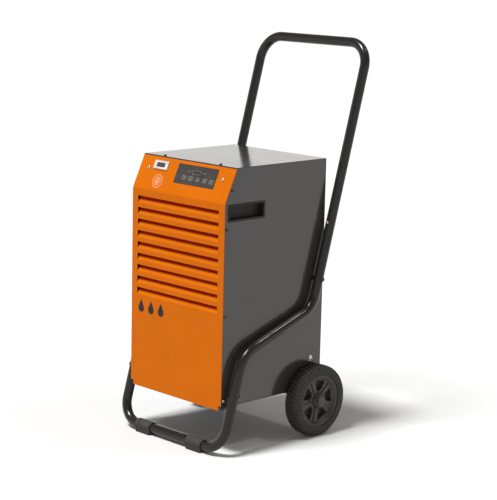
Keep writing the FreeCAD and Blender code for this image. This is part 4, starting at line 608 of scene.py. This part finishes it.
def shade(base, factor):
    """A colour made lighter or darker."""
    return tuple(min(1.0, c * factor) for c in base)


def coated_metal(name, base, rough, peel_size, peel_depth, dust, coat=0.0, variation=0.08, specular=0.5):
    """Painted or powder-coated steel."""
    material, shader, tree = new_material(name)
    surface = group_node(material, "Coat Surface", "Peel Size", peel_size)
    settled = group_node(material, "Settled Dust", "Amount", dust)
    tone = range_node(tree, surface["Mottle"], 0.0, 1.0)
    paint = mix_node(tree, tone, shade(base, 1 - variation), shade(base, 1 + variation))
    tree.links.new(mix_node(tree, settled["Mask"], paint, (0.36, 0.33, 0.29)), shader.inputs["Base Color"])
    gloss = range_node(tree, surface["Mottle"], rough * 0.88, rough * 1.14)
    tree.links.new(gloss, shader.inputs["Roughness"])
    relief(tree, shader, surface["Height"], 0.35, peel_depth)
    shader.inputs["Specular IOR Level"].default_value = specular
    shader.inputs["Coat Weight"].default_value = coat
    shader.inputs["Coat Roughness"].default_value = 0.12
    return material


def paint_slot_shade(material, colour):
    """Paints shade into a coat where the sheet is pressed in behind the upright face: the shadow inside the
    louvre slots, painted in a dark red.
    """
    detail = settings()[1]
    tree = material.node_tree
    base = tree.nodes["Principled BSDF"].inputs["Base Color"]
    coat = base.links[0].from_socket
    place = split_node(tree, own_place(tree))
    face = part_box("front_panel")[0].y
    start = face + detail.slot_shade
    deep = range_node(tree, place["Y"], 0.0, 1.0, start, start + 0.8 * MM)
    fold = max(v.co.z for v in frame["nodes"]["front_panel"].data.vertices if v.co.y < face + MERGE)
    top = fold - detail.slot_start
    below = range_node(tree, place["Z"], 1.0, 0.0, top - 1.0 * MM, top)
    # painted shade: dark red behind the slot depth and below the fold, standing in for the shadow inside the
    # slots
    tree.links.new(mix_node(tree, math_node(tree, "MULTIPLY", deep, below), coat, colour), base)


def moulded(name, base, rough, grain, depth, dust=0.2, specular=0.5):
    """Grained plastic or rubber."""
    material, shader, tree = new_material(name)
    surface = group_node(material, "Moulded Grain", "Size", grain)
    settled = group_node(material, "Settled Dust", "Amount", dust)
    tone = range_node(tree, surface["Tone"], 0.0, 1.0)
    body = mix_node(tree, tone, shade(base, 0.82), shade(base, 1.2))
    tree.links.new(mix_node(tree, settled["Mask"], body, (0.30, 0.28, 0.25)), shader.inputs["Base Color"])
    gloss = range_node(tree, surface["Tone"], rough * 0.85, min(1.0, rough * 1.15))
    tree.links.new(gloss, shader.inputs["Roughness"])
    relief(tree, shader, surface["Height"], 0.5, depth)
    shader.inputs["Specular IOR Level"].default_value = specular
    return material


def bare_metal(name, base, rough, streak=(1.0, 1.0, 1.0), size=300.0):
    """Plated, galvanised or drawn metal with fine streaks."""
    material, shader, tree = new_material(name)
    stretch = tree.nodes.new("ShaderNodeMapping")
    stretch.inputs["Scale"].default_value = streak
    tree.links.new(own_place(tree), stretch.inputs["Vector"])
    noise = noise_node(tree, stretch.outputs["Vector"], size, 6.0)
    tone = range_node(tree, noise, 0.0, 1.0)
    tree.links.new(mix_node(tree, tone, shade(base, 0.8), shade(base, 1.1)), shader.inputs["Base Color"])
    tree.links.new(range_node(tree, noise, rough * 0.7, rough * 1.3), shader.inputs["Roughness"])
    relief(tree, shader, noise, 0.2, 0.05 * MM)
    shader.inputs["Metallic"].default_value = 1.0
    return material


def gloss_window(name, base):
    """Smoked plastic window with faint smears."""
    material, shader, tree = new_material(name)
    smears = group_node(material, "Coat Surface", "Mottle Size", 160.0)["Mottle"]
    tree.links.new(range_node(tree, smears, 0.05, 0.16), shader.inputs["Roughness"])
    tone = range_node(tree, smears, 0.0, 1.0)
    tree.links.new(mix_node(tree, tone, shade(base, 0.85), shade(base, 1.1)), shader.inputs["Base Color"])
    shader.inputs["Coat Weight"].default_value = 0.6
    return material


def filter_weave(name):
    """Open mesh of an air filter: crossed threads from two wave textures."""
    material, shader, tree = new_material(name)
    place = own_place(tree)
    threads = []
    for axis in ("X", "Z"):
        wave = tree.nodes.new("ShaderNodeTexWave")
        wave.bands_direction = axis
        wave.inputs["Scale"].default_value = 160.0
        tree.links.new(place, wave.inputs["Vector"])
        threads.append(wave.outputs["Fac"])
    both = math_node(tree, "MAXIMUM", *threads)
    weave = mix_node(tree, both, (0.006, 0.006, 0.006), (0.05, 0.05, 0.05))
    tree.links.new(weave, shader.inputs["Base Color"])
    relief(tree, shader, both, 1.0, 0.4 * MM)
    shader.inputs["Roughness"].default_value = 0.85
    return material


MATERIALS = {}


def make_materials():
    """Builds the shared groups and every material."""
    paint = settings()[0]
    coat_group()
    dust_group()
    grain_group()
    orange = tuple(paint.orange)
    grey = tuple(paint.grey)
    black = tuple(paint.black)
    plastic = tuple(paint.plastic)
    rubber = tuple(paint.rubber)
    MATERIALS.update({
        "orange": coated_metal("Orange Powder Coat", orange, 0.50, 1500.0, 0.05 * MM, 0.01, 0.0, 0.04, 0.05),
        # same orange as above, with the shadow inside the louvre slots painted into it below
        "front": coated_metal("Orange Coat With Painted Slot Shade", orange, 0.50, 1500.0, 0.05 * MM, 0.01, 0.0, 0.04, 0.05),
        "grey": coated_metal("Grey Powder Coat", grey, 0.30, 1300.0, 0.03 * MM, 0.0, 1.0, 0.05, 0.12),
        "black": coated_metal("Gloss Black Paint", black, 0.24, 600.0, 0.02 * MM, 0.01, 0.3, 0.10, 0.15),
        "black_oxide": coated_metal("Black Oxide Screw", black, 0.35, 2500.0, 0.02 * MM, 0.08),
        "enamel": coated_metal("Black Enamel", (0.018, 0.018, 0.018), 0.3, 500.0, 0.06 * MM, 0.3),
        "plastic": moulded("Grained Black Plastic", plastic, 0.55, 1500.0, 0.05 * MM, 0.05, 0.25),
        "rim": moulded("Moulded Wheel Plastic", (0.046, 0.043, 0.041), 0.45, 900.0, 0.04 * MM, 0.12, 0.35),
        "rubber": moulded("Tyre Rubber", rubber, 0.75, 1100.0, 0.08 * MM, 0.15, 0.3),
        "tank": moulded("Tank Plastic", (0.035, 0.035, 0.036), 0.45, 1200.0, 0.05 * MM),
        "tray": moulded("Light Tray Plastic", (0.34, 0.34, 0.33), 0.5, 900.0, 0.04 * MM),
        "overlay": moulded("Keypad Film", tuple(paint.overlay), 0.36, 2600.0, 0.012 * MM, 0.04, 0.3),
        "key": moulded("Key Cushion", shade(tuple(paint.overlay), 1.08), 0.40, 2600.0, 0.012 * MM, 0.05),
        "print": moulded("Keypad Print", tuple(paint.print_ink), 0.45, 2400.0, 0.005 * MM, 0.05),
        "white": moulded("Counter Housing", tuple(paint.white), 0.32, 1800.0, 0.01 * MM, 0.08),
        "label": moulded("Label Film", (0.60, 0.36, 0.20), 0.38, 2000.0, 0.01 * MM, 0.06),
        "decal": moulded("Cut Decal Film", (0.014, 0.013, 0.012), 0.40, 2200.0, 0.01 * MM, 0.02, 0.15),
        "board": moulded("Circuit Board", (0.01, 0.09, 0.03), 0.4, 800.0, 0.03 * MM),
        "window": gloss_window("Smoked Window", (0.012, 0.012, 0.012)),
        "display": gloss_window("Display Window", shade(tuple(paint.overlay), 0.8)),
        "lamp": gloss_window("Red Lamp", (0.30, 0.012, 0.008)),
        "zinc": bare_metal("Bright Zinc Plate", (0.72, 0.72, 0.70), 0.24, size=700.0),
        "galvanised": bare_metal("Galvanised Sheet", (0.42, 0.43, 0.44), 0.38, size=120.0),
        "copper": bare_metal("Copper Tube", (0.72, 0.30, 0.17), 0.3, (0.1, 1.0, 1.0), 500.0),
        "fins": bare_metal("Aluminium Fins", (0.66, 0.67, 0.68), 0.34, (1.0, 1.0, 0.1), 600.0),
        "filter": filter_weave("Filter Mesh"),
    })
    # paints the shadow inside the louvre slots into the front's coat
    paint_slot_shade(MATERIALS["front"], tuple(paint.slot))


def paint_nodes(names, material):
    """Gives CAD nodes a material and leaves their shape alone."""
    for name in names:
        mesh = frame["nodes"][name].data
        mesh.materials.clear()
        mesh.materials.append(MATERIALS[material])


# ---------------------------------------------------------------- pieces


class DEHUMIDIFIER_OT_finishes(bpy.types.Operator):
    """Makes the shared shader groups and every material"""
    bl_idname = "dehumidifier.finishes"
    bl_label = "Finishes"
    bl_options = {"REGISTER", "UNDO"}

    def execute(self, context):
        make_materials()
        clear_selection()
        return {"FINISHED"}


class DEHUMIDIFIER_OT_front(bpy.types.Operator):
    """Louvred front panel with rounded folds and soft louvre edges"""
    bl_idname = "dehumidifier.front"
    bl_label = "Front Panel"
    bl_options = {"REGISTER", "UNDO"}

    def execute(self, context):
        detail = settings()[1]
        panel = copy_of("front_panel", "louvred_front")
        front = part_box("front_panel")[0].y
        outward = face_axes()[2]
        plate = max(v.co.dot(outward) for v in frame["nodes"]["front_panel"].data.vertices
                    if abs(v.co.x) > 150 * MM)

        def on_fold(edge):
            """True for the outer fold line between the upright and the slanted face."""
            a, b = (corner.co for corner in edge.verts)
            level = abs(a.z - b.z) < 0.1 * MM and abs(a.x - b.x) > 50 * MM
            return level and abs(a.y - front) < 0.05 * MM and abs(a.dot(outward) - plate) < 0.3 * MM

        pick(panel, on_fold, "EDGE")
        bpy.ops.mesh.bevel(offset=detail.fold_radius, offset_type="OFFSET", segments=5, affect="EDGES")
        bpy.ops.object.mode_set(mode="OBJECT")
        soften(panel, detail.sheet_edge)
        finish(panel, "louvred_front", ROOT, "front", ["front_panel"])
        clear_selection()
        return {"FINISHED"}


class DEHUMIDIFIER_OT_case(bpy.types.Operator):
    """Hood, rear sheet and base tray with softened cut edges, and the inner sheets"""
    bl_idname = "dehumidifier.case"
    bl_label = "Case"
    bl_options = {"REGISTER", "UNDO"}

    def execute(self, context):
        edge = settings()[1].sheet_edge
        refinish("casing_hood", "folded_hood", ROOT, "grey", edge)
        refinish("rear_panel", "rear_sheet", ROOT, "grey", edge)
        refinish("base_pan", "base_tray", ROOT, "enamel", edge)
        paint_nodes(["shelf_plate", "fan_shroud"], "galvanised")
        clear_selection()
        return {"FINISHED"}


class DEHUMIDIFIER_OT_grips(bpy.types.Operator):
    """Moulded finger pockets in both sides"""
    bl_idname = "dehumidifier.grips"
    bl_label = "Grip Pockets"
    bl_options = {"REGISTER", "UNDO"}

    def execute(self, context):
        for side in SIDES:
            refinish(f"grip_pocket_{side}", f"finger_pocket_{side}", ROOT, "plastic",
                     0.6 * MM, 3)
        clear_selection()
        return {"FINISHED"}


class DEHUMIDIFIER_OT_keypad(bpy.types.Operator):
    """Keypad film, cushioned keys with printed symbols, display and lamps"""
    bl_idname = "dehumidifier.keypad"
    bl_label = "Keypad"
    bl_options = {"REGISTER", "UNDO"}

    def execute(self, context):
        refinish("control_overlay", "keypad_film", ROOT, "overlay", 0.2 * MM)
        for index, key in enumerate(KEYS):
            refinish(key, f"cushion_{key}", key, "key", 0.15 * MM)
            for part, print_piece in enumerate(self.symbol(index)):
                on_face(print_piece, key, 0.01 * MM)
                finish(print_piece, f"print_{key}_{part + 1}", key, "print")
        self.display()
        paint_nodes(["indicator_lamps"], "lamp")
        paint_nodes(["control_board"], "board")
        clear_selection()
        return {"FINISHED"}

    def symbol(self, index):
        """Printed outline of a key and its plain symbol."""
        outline = flat_frame(17.6 * MM, 11.6 * MM, 2.0 * MM, settings()[1].print_line)
        marks = (self.power_mark, self.fan_mark, self.drop_mark, self.clock_mark, self.arrows_mark)
        return outline, marks[index]()

    def power_mark(self):
        line = settings()[1].print_line
        ring = flat_ring(3.2 * MM, line)
        return join([ring, self.moved(flat_stroke(line, 4.2 * MM), 0, 2.4)])

    def fan_mark(self):
        outline = ((0, 0.6), (1.3, 1.6), (1.5, 3.2), (0.2, 3.9), (-0.7, 3.0), (-0.5, 1.6))
        blades = []
        for turn in range(3):
            blade = flat_shape([(x * MM, y * MM) for x, y in outline])
            blade.data.transform(Matrix.Rotation(turn * 2 * math.pi / 3, 4, "Z"))
            blades.append(blade)
        return join(blades)

    def drop_mark(self):
        return self.moved(flat_shape(drop_outline(2.3 * MM, 4.6 * MM)), 0, -0.8)

    def clock_mark(self):
        line = settings()[1].print_line
        ring = flat_ring(3.5 * MM, line)
        hour = self.moved(flat_stroke(line, 2.6 * MM), 0, 1.2)
        minute = self.moved(flat_stroke(2.2 * MM, line), 1.0, 0)
        return join([ring, hour, minute])

    def arrows_mark(self):
        up = flat_shape([(-2.6 * MM, 0.8 * MM), (2.6 * MM, 0.8 * MM), (0, 3.9 * MM)])
        down = flat_shape([(-2.6 * MM, -0.8 * MM), (0, -3.9 * MM), (2.6 * MM, -0.8 * MM)])
        return join([up, down])

    def moved(self, piece, across, up):
        """Shifts a flat drawing by millimetres."""
        piece.data.transform(Matrix.Translation((across * MM, up * MM, 0)))
        return piece

    def display(self):
        """Printed outline of the display, with two plain rules on each side of it."""
        paint_nodes(["display_window"], "display")
        line = settings()[1].print_line * 0.8
        outline = flat_frame(33.0 * MM, 11.2 * MM, 1.0 * MM, line)
        on_face(outline, "display_window", 0.01 * MM)
        finish(outline, "print_display_outline", ROOT, "print")
        for side, across in (("left", -31), ("right", 31)):
            for row, (width, up) in enumerate(((16, 2.2), (11, -1.2))):
                rule = self.moved(flat_stroke(width * MM, line), across, up)
                on_face(rule, "display_window", 0.11 * MM)
                finish(rule, f"print_rule_{side}_{row + 1}", ROOT, "print")


class DEHUMIDIFIER_OT_counter(bpy.types.Operator):
    """Hour counter with plain digits on a dark window"""
    bl_idname = "dehumidifier.counter"
    bl_label = "Hour Counter"
    bl_options = {"REGISTER", "UNDO"}

    def execute(self, context):
        detail = settings()[1]
        refinish("hour_counter_case", "counter_bezel", ROOT, "white", 0.25 * MM)
        paint_nodes(["hour_counter_window"], "window")
        for place in range(5):
            clear_selection()
            bpy.ops.object.text_add()
            text = bpy.context.active_object.data
            text.body = "0"
            text.size = detail.digit_height
            text.align_x = "CENTER"
            text.align_y = "CENTER"
            text.extrude = 0.03 * MM
            bpy.ops.object.convert(target="MESH")
            digit = bpy.context.active_object
            digit.data.transform(Matrix.Translation(((place - 2) * detail.digit_pitch, 0, 0)))
            on_face(digit, "hour_counter_window", 0.04 * MM)
            finish(digit, f"counter_digit_{place + 1}", ROOT, "print")
        clear_selection()
        return {"FINISHED"}


class DEHUMIDIFIER_OT_labels(bpy.types.Operator):
    """Round badge and the row of water drops on the front"""
    bl_idname = "dehumidifier.labels"
    bl_label = "Badge and Drops"
    bl_options = {"REGISTER", "UNDO"}

    def execute(self, context):
        paint_nodes(["badge_disc"], "orange")
        low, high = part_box("badge_disc")
        radius = (high.x - low.x) / 2
        drop = flat_shape([(x, y - 1.2 * MM) for x, y in drop_outline(2.6 * MM, 5.6 * MM)])
        pieces = [flat_ring(radius - 0.6 * MM, 1.1 * MM, 64),
                  flat_ring(radius - 3.2 * MM, 0.5 * MM, 56), drop]
        for turn in range(6):
            cell = flat_ring(4.9 * MM, 0.9 * MM, 6)
            place = Matrix.Rotation(turn * math.pi / 3, 4, "Z") @ Matrix.Translation((9.4 * MM, 0, 0))
            cell.data.transform(place @ Matrix.Rotation(math.pi / 6, 4, "Z"))
            pieces.append(cell)
            dot = flat_ring(1.5 * MM, 0.7 * MM, 16)
            dot.data.transform(place)
            pieces.append(dot)
        badge = join(pieces)
        on_face(badge, "badge_disc", 0.01 * MM)
        finish(badge, "badge_print", ROOT, "label")
        refinish("front_decal", "front_drops", ROOT, "decal", 0.08 * MM)
        clear_selection()
        return {"FINISHED"}


class DEHUMIDIFIER_OT_trolley(bpy.types.Operator):
    """Bent tubes of the handle and the frame"""
    bl_idname = "dehumidifier.trolley"
    bl_label = "Trolley Tubes"
    bl_options = {"REGISTER", "UNDO"}

    def execute(self, context):
        detail = settings()[1]
        radius, wall = detail.tube_radius, detail.tube_wall
        handle_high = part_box("handle_tube")[1]
        frame_low, frame_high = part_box("frame_tube")
        x = handle_high.x - radius
        slope = Vector((0, math.sin(detail.tube_lean), math.cos(detail.tube_lean)))
        top = Vector((x, handle_high.y - radius, handle_high.z - radius))
        joint = top - slope * ((top.z - frame_high.z + radius * slope.y) / slope.z)
        upper = joint - slope * (detail.upper_drop / slope.z)
        foot = Vector((x, frame_low.y + radius, frame_low.z + radius))
        lower = foot + slope * (detail.lower_rise / slope.z)

        def closed(run, bends):
            """Adds the other side's corners, in the opposite order."""
            across = [Vector((-corner.x, corner.y, corner.z)) for corner in run[::-1]]
            return bent_tube(run + across, bends + bends[::-1], radius, wall)

        handle = closed([joint, top], [detail.handle_bend])
        finish(handle, "push_handle", ROOT, "black", ["handle_tube"])
        base = closed([joint, upper, lower, foot], [detail.upper_bend, detail.lower_bend, detail.foot_bend])
        finish(base, "trolley_frame", ROOT, "black", ["frame_tube"])
        for side in SIDES:
            refinish(f"foot_pad_{side}", f"rubber_foot_{side}", ROOT, "rubber", 1.2 * MM, 3)
        clear_selection()
        return {"FINISHED"}


class DEHUMIDIFIER_OT_wheels(bpy.types.Operator):
    """Treaded tyres on spoked wheels, with stepped hubs"""
    bl_idname = "dehumidifier.wheels"
    bl_label = "Wheels"
    bl_options = {"REGISTER", "UNDO"}

    def execute(self, context):
        tyre = self.tyre()
        rim = self.rim()
        finish(mirrored(tyre), "treaded_tyre_left", "wheel_left", "rubber", ["tyre_left"])
        finish(mirrored(rim), "spoked_wheel_left", "wheel_left", "rim", ["wheel_rim_left"])
        finish(tyre, "treaded_tyre_right", "wheel_right", "rubber", ["tyre_right"])
        finish(rim, "spoked_wheel_right", "wheel_right", "rim", ["wheel_rim_right"])
        refinish("axle_caps", "axle_end_caps", ROOT, "rim", 0.4 * MM)
        paint_nodes(["axle"], "zinc")
        paint_nodes(["axle_brackets"], "galvanised")
        clear_selection()
        return {"FINISHED"}

    def tyre(self):
        """Tyre with a groove round its middle and two offset rings of blocks on each side of it."""
        detail = settings()[1]
        low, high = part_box("tyre_right")
        centre = (low + high) / 2
        half = (high.x - low.x) / 2
        radius = (high.z - low.z) / 2
        section = ((6, 30), (1.5, 29), (0, 24), (0, 17), (1.2, 9), (4.5, 3.5), (10, 1), (17, 0.2))
        outline = [(half - inwards * MM, radius - depth * MM) for inwards, depth in section]
        outline.append((3 * MM, radius))
        tyre = turned(outline + [(-x, r) for x, r in outline[::-1]], centre, detail.tread_blocks * 4)
        pitch = 2 * math.pi / detail.tread_blocks

        def gap(face):
            """True between two blocks. A quarter of each pitch is gap, and each ring is offset."""
            x, y, z = face.calc_center_median() - centre
            if math.hypot(y, z) < radius - 13 * MM or abs(x) < 3.2 * MM:
                return False
            offset = (0.0 if x > 0 else 0.5) + (0.25 if abs(x) < half - 13 * MM else 0.0)
            return (math.atan2(z, y) / pitch + offset) % 1 < 0.25

        def middle(face):
            x, y, z = face.calc_center_median() - centre
            return abs(x) < 3.1 * MM and math.hypot(y, z) > radius - 5 * MM

        for part, depth in ((gap, detail.groove_depth), (middle, detail.groove_depth * 0.7)):
            pick(tyre, part)
            bpy.ops.mesh.extrude_region_shrink_fatten(TRANSFORM_OT_shrink_fatten={"value": -depth})
        bpy.ops.object.mode_set(mode="OBJECT")
        soften(tyre, 0.4 * MM, 1, 40)
        return tyre

    def rim(self):
        """Hub, web and bead seat in one turned piece, with a rib on each spoke and pockets between."""
        detail = settings()[1]
        low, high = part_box("tyre_right")
        centre = (low + high) / 2
        face = ((21, 74), (21, 70.5), (18.5, 67), (11, 63), (9.5, 60.5), (9.5, 27), (12, 23), (20, 20.5),
                (24, 18), (24, 8.1))
        back = ((-24, 8.1), (-24, 17), (-20, 19), (-12, 22), (-10, 60), (-14, 66), (-21, 70), (-21, 74))
        wheel = turned([(x * MM, r * MM) for x, r in face + back], centre, 160)
        pitch = 2 * math.pi / detail.spokes
        turns = [detail.first_spoke + spoke * pitch for spoke in range(detail.spokes)]
        cut_with(wheel, [self.pocket(centre, turn + pitch / 2) for turn in turns])
        soften(wheel, 0.9 * MM, 3, 35)
        return join([wheel] + [self.rib(centre, turn, detail.rib_width / 2) for turn in turns])

    def rib(self, centre, turn, half):
        """Rib that runs along a spoke from the hub to the bead seat."""
        rib = add_box(centre + Vector((-15 * MM, -half, 16 * MM)), centre + Vector((13 * MM, half, 64 * MM)))
        soften(rib, 1.2 * MM, 3)
        return self.about_axle(rib, centre, turn)

    def pocket(self, centre, turn):
        """Cutter of one blind pocket: a rounded trapezium, wider away from the hub."""
        cutter = add_box(centre + Vector((-6 * MM, -15 * MM, 27 * MM)),
                         centre + Vector((40 * MM, 15 * MM, 58.5 * MM)))
        for outer, width in ((True, 1.5), (False, 0.55)):
            pick(cutter, lambda v, outer=outer: (v.co.z > centre.z + 40 * MM) == outer, "VERT")
            bpy.ops.transform.resize(value=(1, width, 1), center_override=centre)
        pick(cutter, lambda e: abs(e.verts[0].co.x - e.verts[1].co.x) > 10 * MM, "EDGE")
        bpy.ops.mesh.bevel(offset=6.5 * MM, offset_type="OFFSET", segments=5, affect="EDGES")
        bpy.ops.object.mode_set(mode="OBJECT")
        return self.about_axle(cutter, centre, turn)

    def about_axle(self, piece, centre, turn):
        """Turns a piece about the wheel's axle."""
        spin = Matrix.Rotation(turn, 4, "X")
        piece.data.transform(Matrix.Translation(centre) @ spin @ Matrix.Translation(-centre))
        return piece


class DEHUMIDIFIER_OT_hardware(bpy.types.Operator):
    """Screws, bolts, nuts, spacers and sleeves"""
    bl_idname = "dehumidifier.hardware"
    bl_label = "Hardware"
    bl_options = {"REGISTER", "UNDO"}

    def execute(self, context):
        black = ("hood_screws", "rear_screws", "frame_bolts", "frame_spacers")
        bright = ("side_bolts", "panel_screws", "joint_bolts", "bracket_bolts", "compressor_bolts")
        for nodes, material, slot in ((black, "black_oxide", "black_hardware"),
                                      (bright, "zinc", "zinc_hardware")):
            for node in nodes:
                refinish(node, f"{node}_set", ROOT, material, 0.18 * MM)
        paint_nodes(["joint_sleeves"], "zinc")
        clear_selection()
        return {"FINISHED"}


class DEHUMIDIFIER_OT_rear(bpy.types.Operator):
    """Fan guard, fan, motor, inlet and water tank"""
    bl_idname = "dehumidifier.rear"
    bl_label = "Rear Fittings"
    bl_options = {"REGISTER", "UNDO"}

    def execute(self, context):
        for node, body, material, slot, width in (
                ("water_tank", "water_tank", "tank", "tank_plastic", 0.8 * MM),
                ("mains_inlet", ROOT, "plastic", "dark_plastic", 0.4 * MM),
                ("fan_rotor", "fan_rotor", "plastic", "dark_plastic", 0.4 * MM),
                ("fan_motor", ROOT, "enamel", "motor_black", 0.6 * MM),
                ("fan_guard", ROOT, "enamel", "motor_black", 0.7 * MM)):
            refinish(node, f"{node}_finished", body, material, width)
        clear_selection()
        return {"FINISHED"}


class DEHUMIDIFIER_OT_inside(bpy.types.Operator):
    """Finishes of the coils, compressor and other inner parts"""
    bl_idname = "dehumidifier.inside"
    bl_label = "Inner Parts"
    bl_options = {"REGISTER", "UNDO"}

    def execute(self, context):
        paint_nodes(["evaporator_fins", "condenser_fins"], "fins")
        paint_nodes(["evaporator_tubes", "condenser_tubes", "refrigerant_pipes", "filter_drier"], "copper")
        paint_nodes(["compressor"], "enamel")
        paint_nodes(["compressor_grommets", "drain_tube"], "rubber")
        paint_nodes(["drip_tray", "tank_float"], "tray")
        paint_nodes(["float_switch"], "plastic")
        paint_nodes(["filter_cassette"], "filter")
        clear_selection()
        return {"FINISHED"}


class DEHUMIDIFIER_OT_stage(bpy.types.Operator):
    """Pale floor, soft lights and the camera"""
    bl_idname = "dehumidifier.stage"
    bl_label = "Stage"
    bl_options = {"REGISTER", "UNDO"}

    def execute(self, context):
        stage = settings()[2]
        self.floor(stage)
        self.surround(stage)
        self.sun("Key Light", stage.key_place, stage.key_power, stage.key_spread)
        self.sun("Glint Light", stage.glint_place, stage.glint_power, stage.glint_spread)
        self.camera(stage)
        bpy.context.scene.view_settings.view_transform = "Standard"
        clear_selection()
        return {"FINISHED"}

    def floor(self, stage):
        """Wide matt floor in one pale grey."""
        clear_selection()
        bpy.ops.mesh.primitive_plane_add(size=stage.floor_size)
        floor = rename(bpy.context.active_object, "pale_floor")
        material, shader, tree = new_material("Pale Floor")
        tone = mix_node(tree, noise_node(tree, own_place(tree), 3.0), (0.58, 0.58, 0.58), (0.60, 0.60, 0.60))
        tree.links.new(tone, shader.inputs["Base Color"])
        shader.inputs["Roughness"].default_value = 0.9
        floor.data.materials.append(material)

    def surround(self, stage):
        """Bright surround that fades overhead."""
        world = bpy.data.worlds.new("Soft Surround")
        world.use_nodes = True
        tree = world.node_tree
        back = tree.nodes["Background"].inputs
        back["Color"].default_value = (*stage.sky, 1.0)
        height = split_node(tree, tree.nodes.new("ShaderNodeTexCoord").outputs["Generated"])["Z"]
        fade = range_node(tree, height, stage.horizon, stage.zenith, stage.fade_low, stage.fade_high)
        tree.links.new(fade, back["Strength"])
        bpy.context.scene.world = world

    def sun(self, name, place, power, spread):
        """Distant light from a place towards the object."""
        clear_selection()
        bpy.ops.object.light_add(type="SUN", location=place)
        light = bpy.context.active_object
        light.name = name
        light.data.energy = power
        light.data.angle = spread
        light.rotation_euler = (-place).to_track_quat("-Z", "Y").to_euler()

    def camera(self, stage):
        """Camera at the front and right of the machine."""
        clear_selection()
        bpy.ops.object.camera_add()
        camera = bpy.context.active_object
        camera.name = "Three Quarter View"
        camera.data.lens = stage.lens
        camera.data.sensor_width = 36.0
        camera.data.clip_end = 60.0
        turn = Matrix.Rotation(stage.view_turn, 4, "Z")
        turn = turn @ Matrix.Rotation(math.pi / 2 - stage.view_dip, 4, "X")
        turn = turn @ Matrix.Rotation(stage.view_roll, 4, "Z")
        camera.matrix_world = Matrix.Translation(stage.view_place) @ turn
        bpy.context.scene.camera = camera


OPERATORS = (DEHUMIDIFIER_OT_finishes, DEHUMIDIFIER_OT_front, DEHUMIDIFIER_OT_case, DEHUMIDIFIER_OT_grips,
             DEHUMIDIFIER_OT_keypad, DEHUMIDIFIER_OT_counter, DEHUMIDIFIER_OT_labels, DEHUMIDIFIER_OT_trolley,
             DEHUMIDIFIER_OT_wheels, DEHUMIDIFIER_OT_hardware, DEHUMIDIFIER_OT_rear, DEHUMIDIFIER_OT_inside,
             DEHUMIDIFIER_OT_stage)


class DEHUMIDIFIER_PT_panel(bpy.types.Panel):
    """Sizes, colours and builders of the dehumidifier"""
    bl_idname = "DEHUMIDIFIER_PT_panel"
    bl_label = "Dehumidifier"
    bl_space_type = "VIEW_3D"
    bl_region_type = "UI"
    bl_category = "Dehumidifier"

    def draw(self, context):
        for group in settings():
            box = self.layout.box()
            for name in group.bl_rna.properties.keys():
                if name not in ("rna_type", "name"):
                    box.prop(group, name)
        for operator in OPERATORS:
            self.layout.operator(operator.bl_idname)


GROUPS = {"dehumidifier_paint": DehumidifierPaint, "dehumidifier_detail": DehumidifierDetail,
          "dehumidifier_stage": DehumidifierStage}


def register():
    for name, group in GROUPS.items():
        bpy.utils.register_class(group)
        setattr(bpy.types.Scene, name, bpy.props.PointerProperty(type=group))
    for operator in OPERATORS:
        bpy.utils.register_class(operator)
    bpy.utils.register_class(DEHUMIDIFIER_PT_panel)


def unregister():
    bpy.utils.unregister_class(DEHUMIDIFIER_PT_panel)
    for operator in reversed(OPERATORS):
        bpy.utils.unregister_class(operator)
    for name, group in GROUPS.items():
        delattr(bpy.types.Scene, name)
        bpy.utils.unregister_class(group)


def main():
    register()
    for operator in OPERATORS:
        family, action = operator.bl_idname.split(".")
        getattr(getattr(bpy.ops, family), action)()


if __name__ == "__main__":
    main()
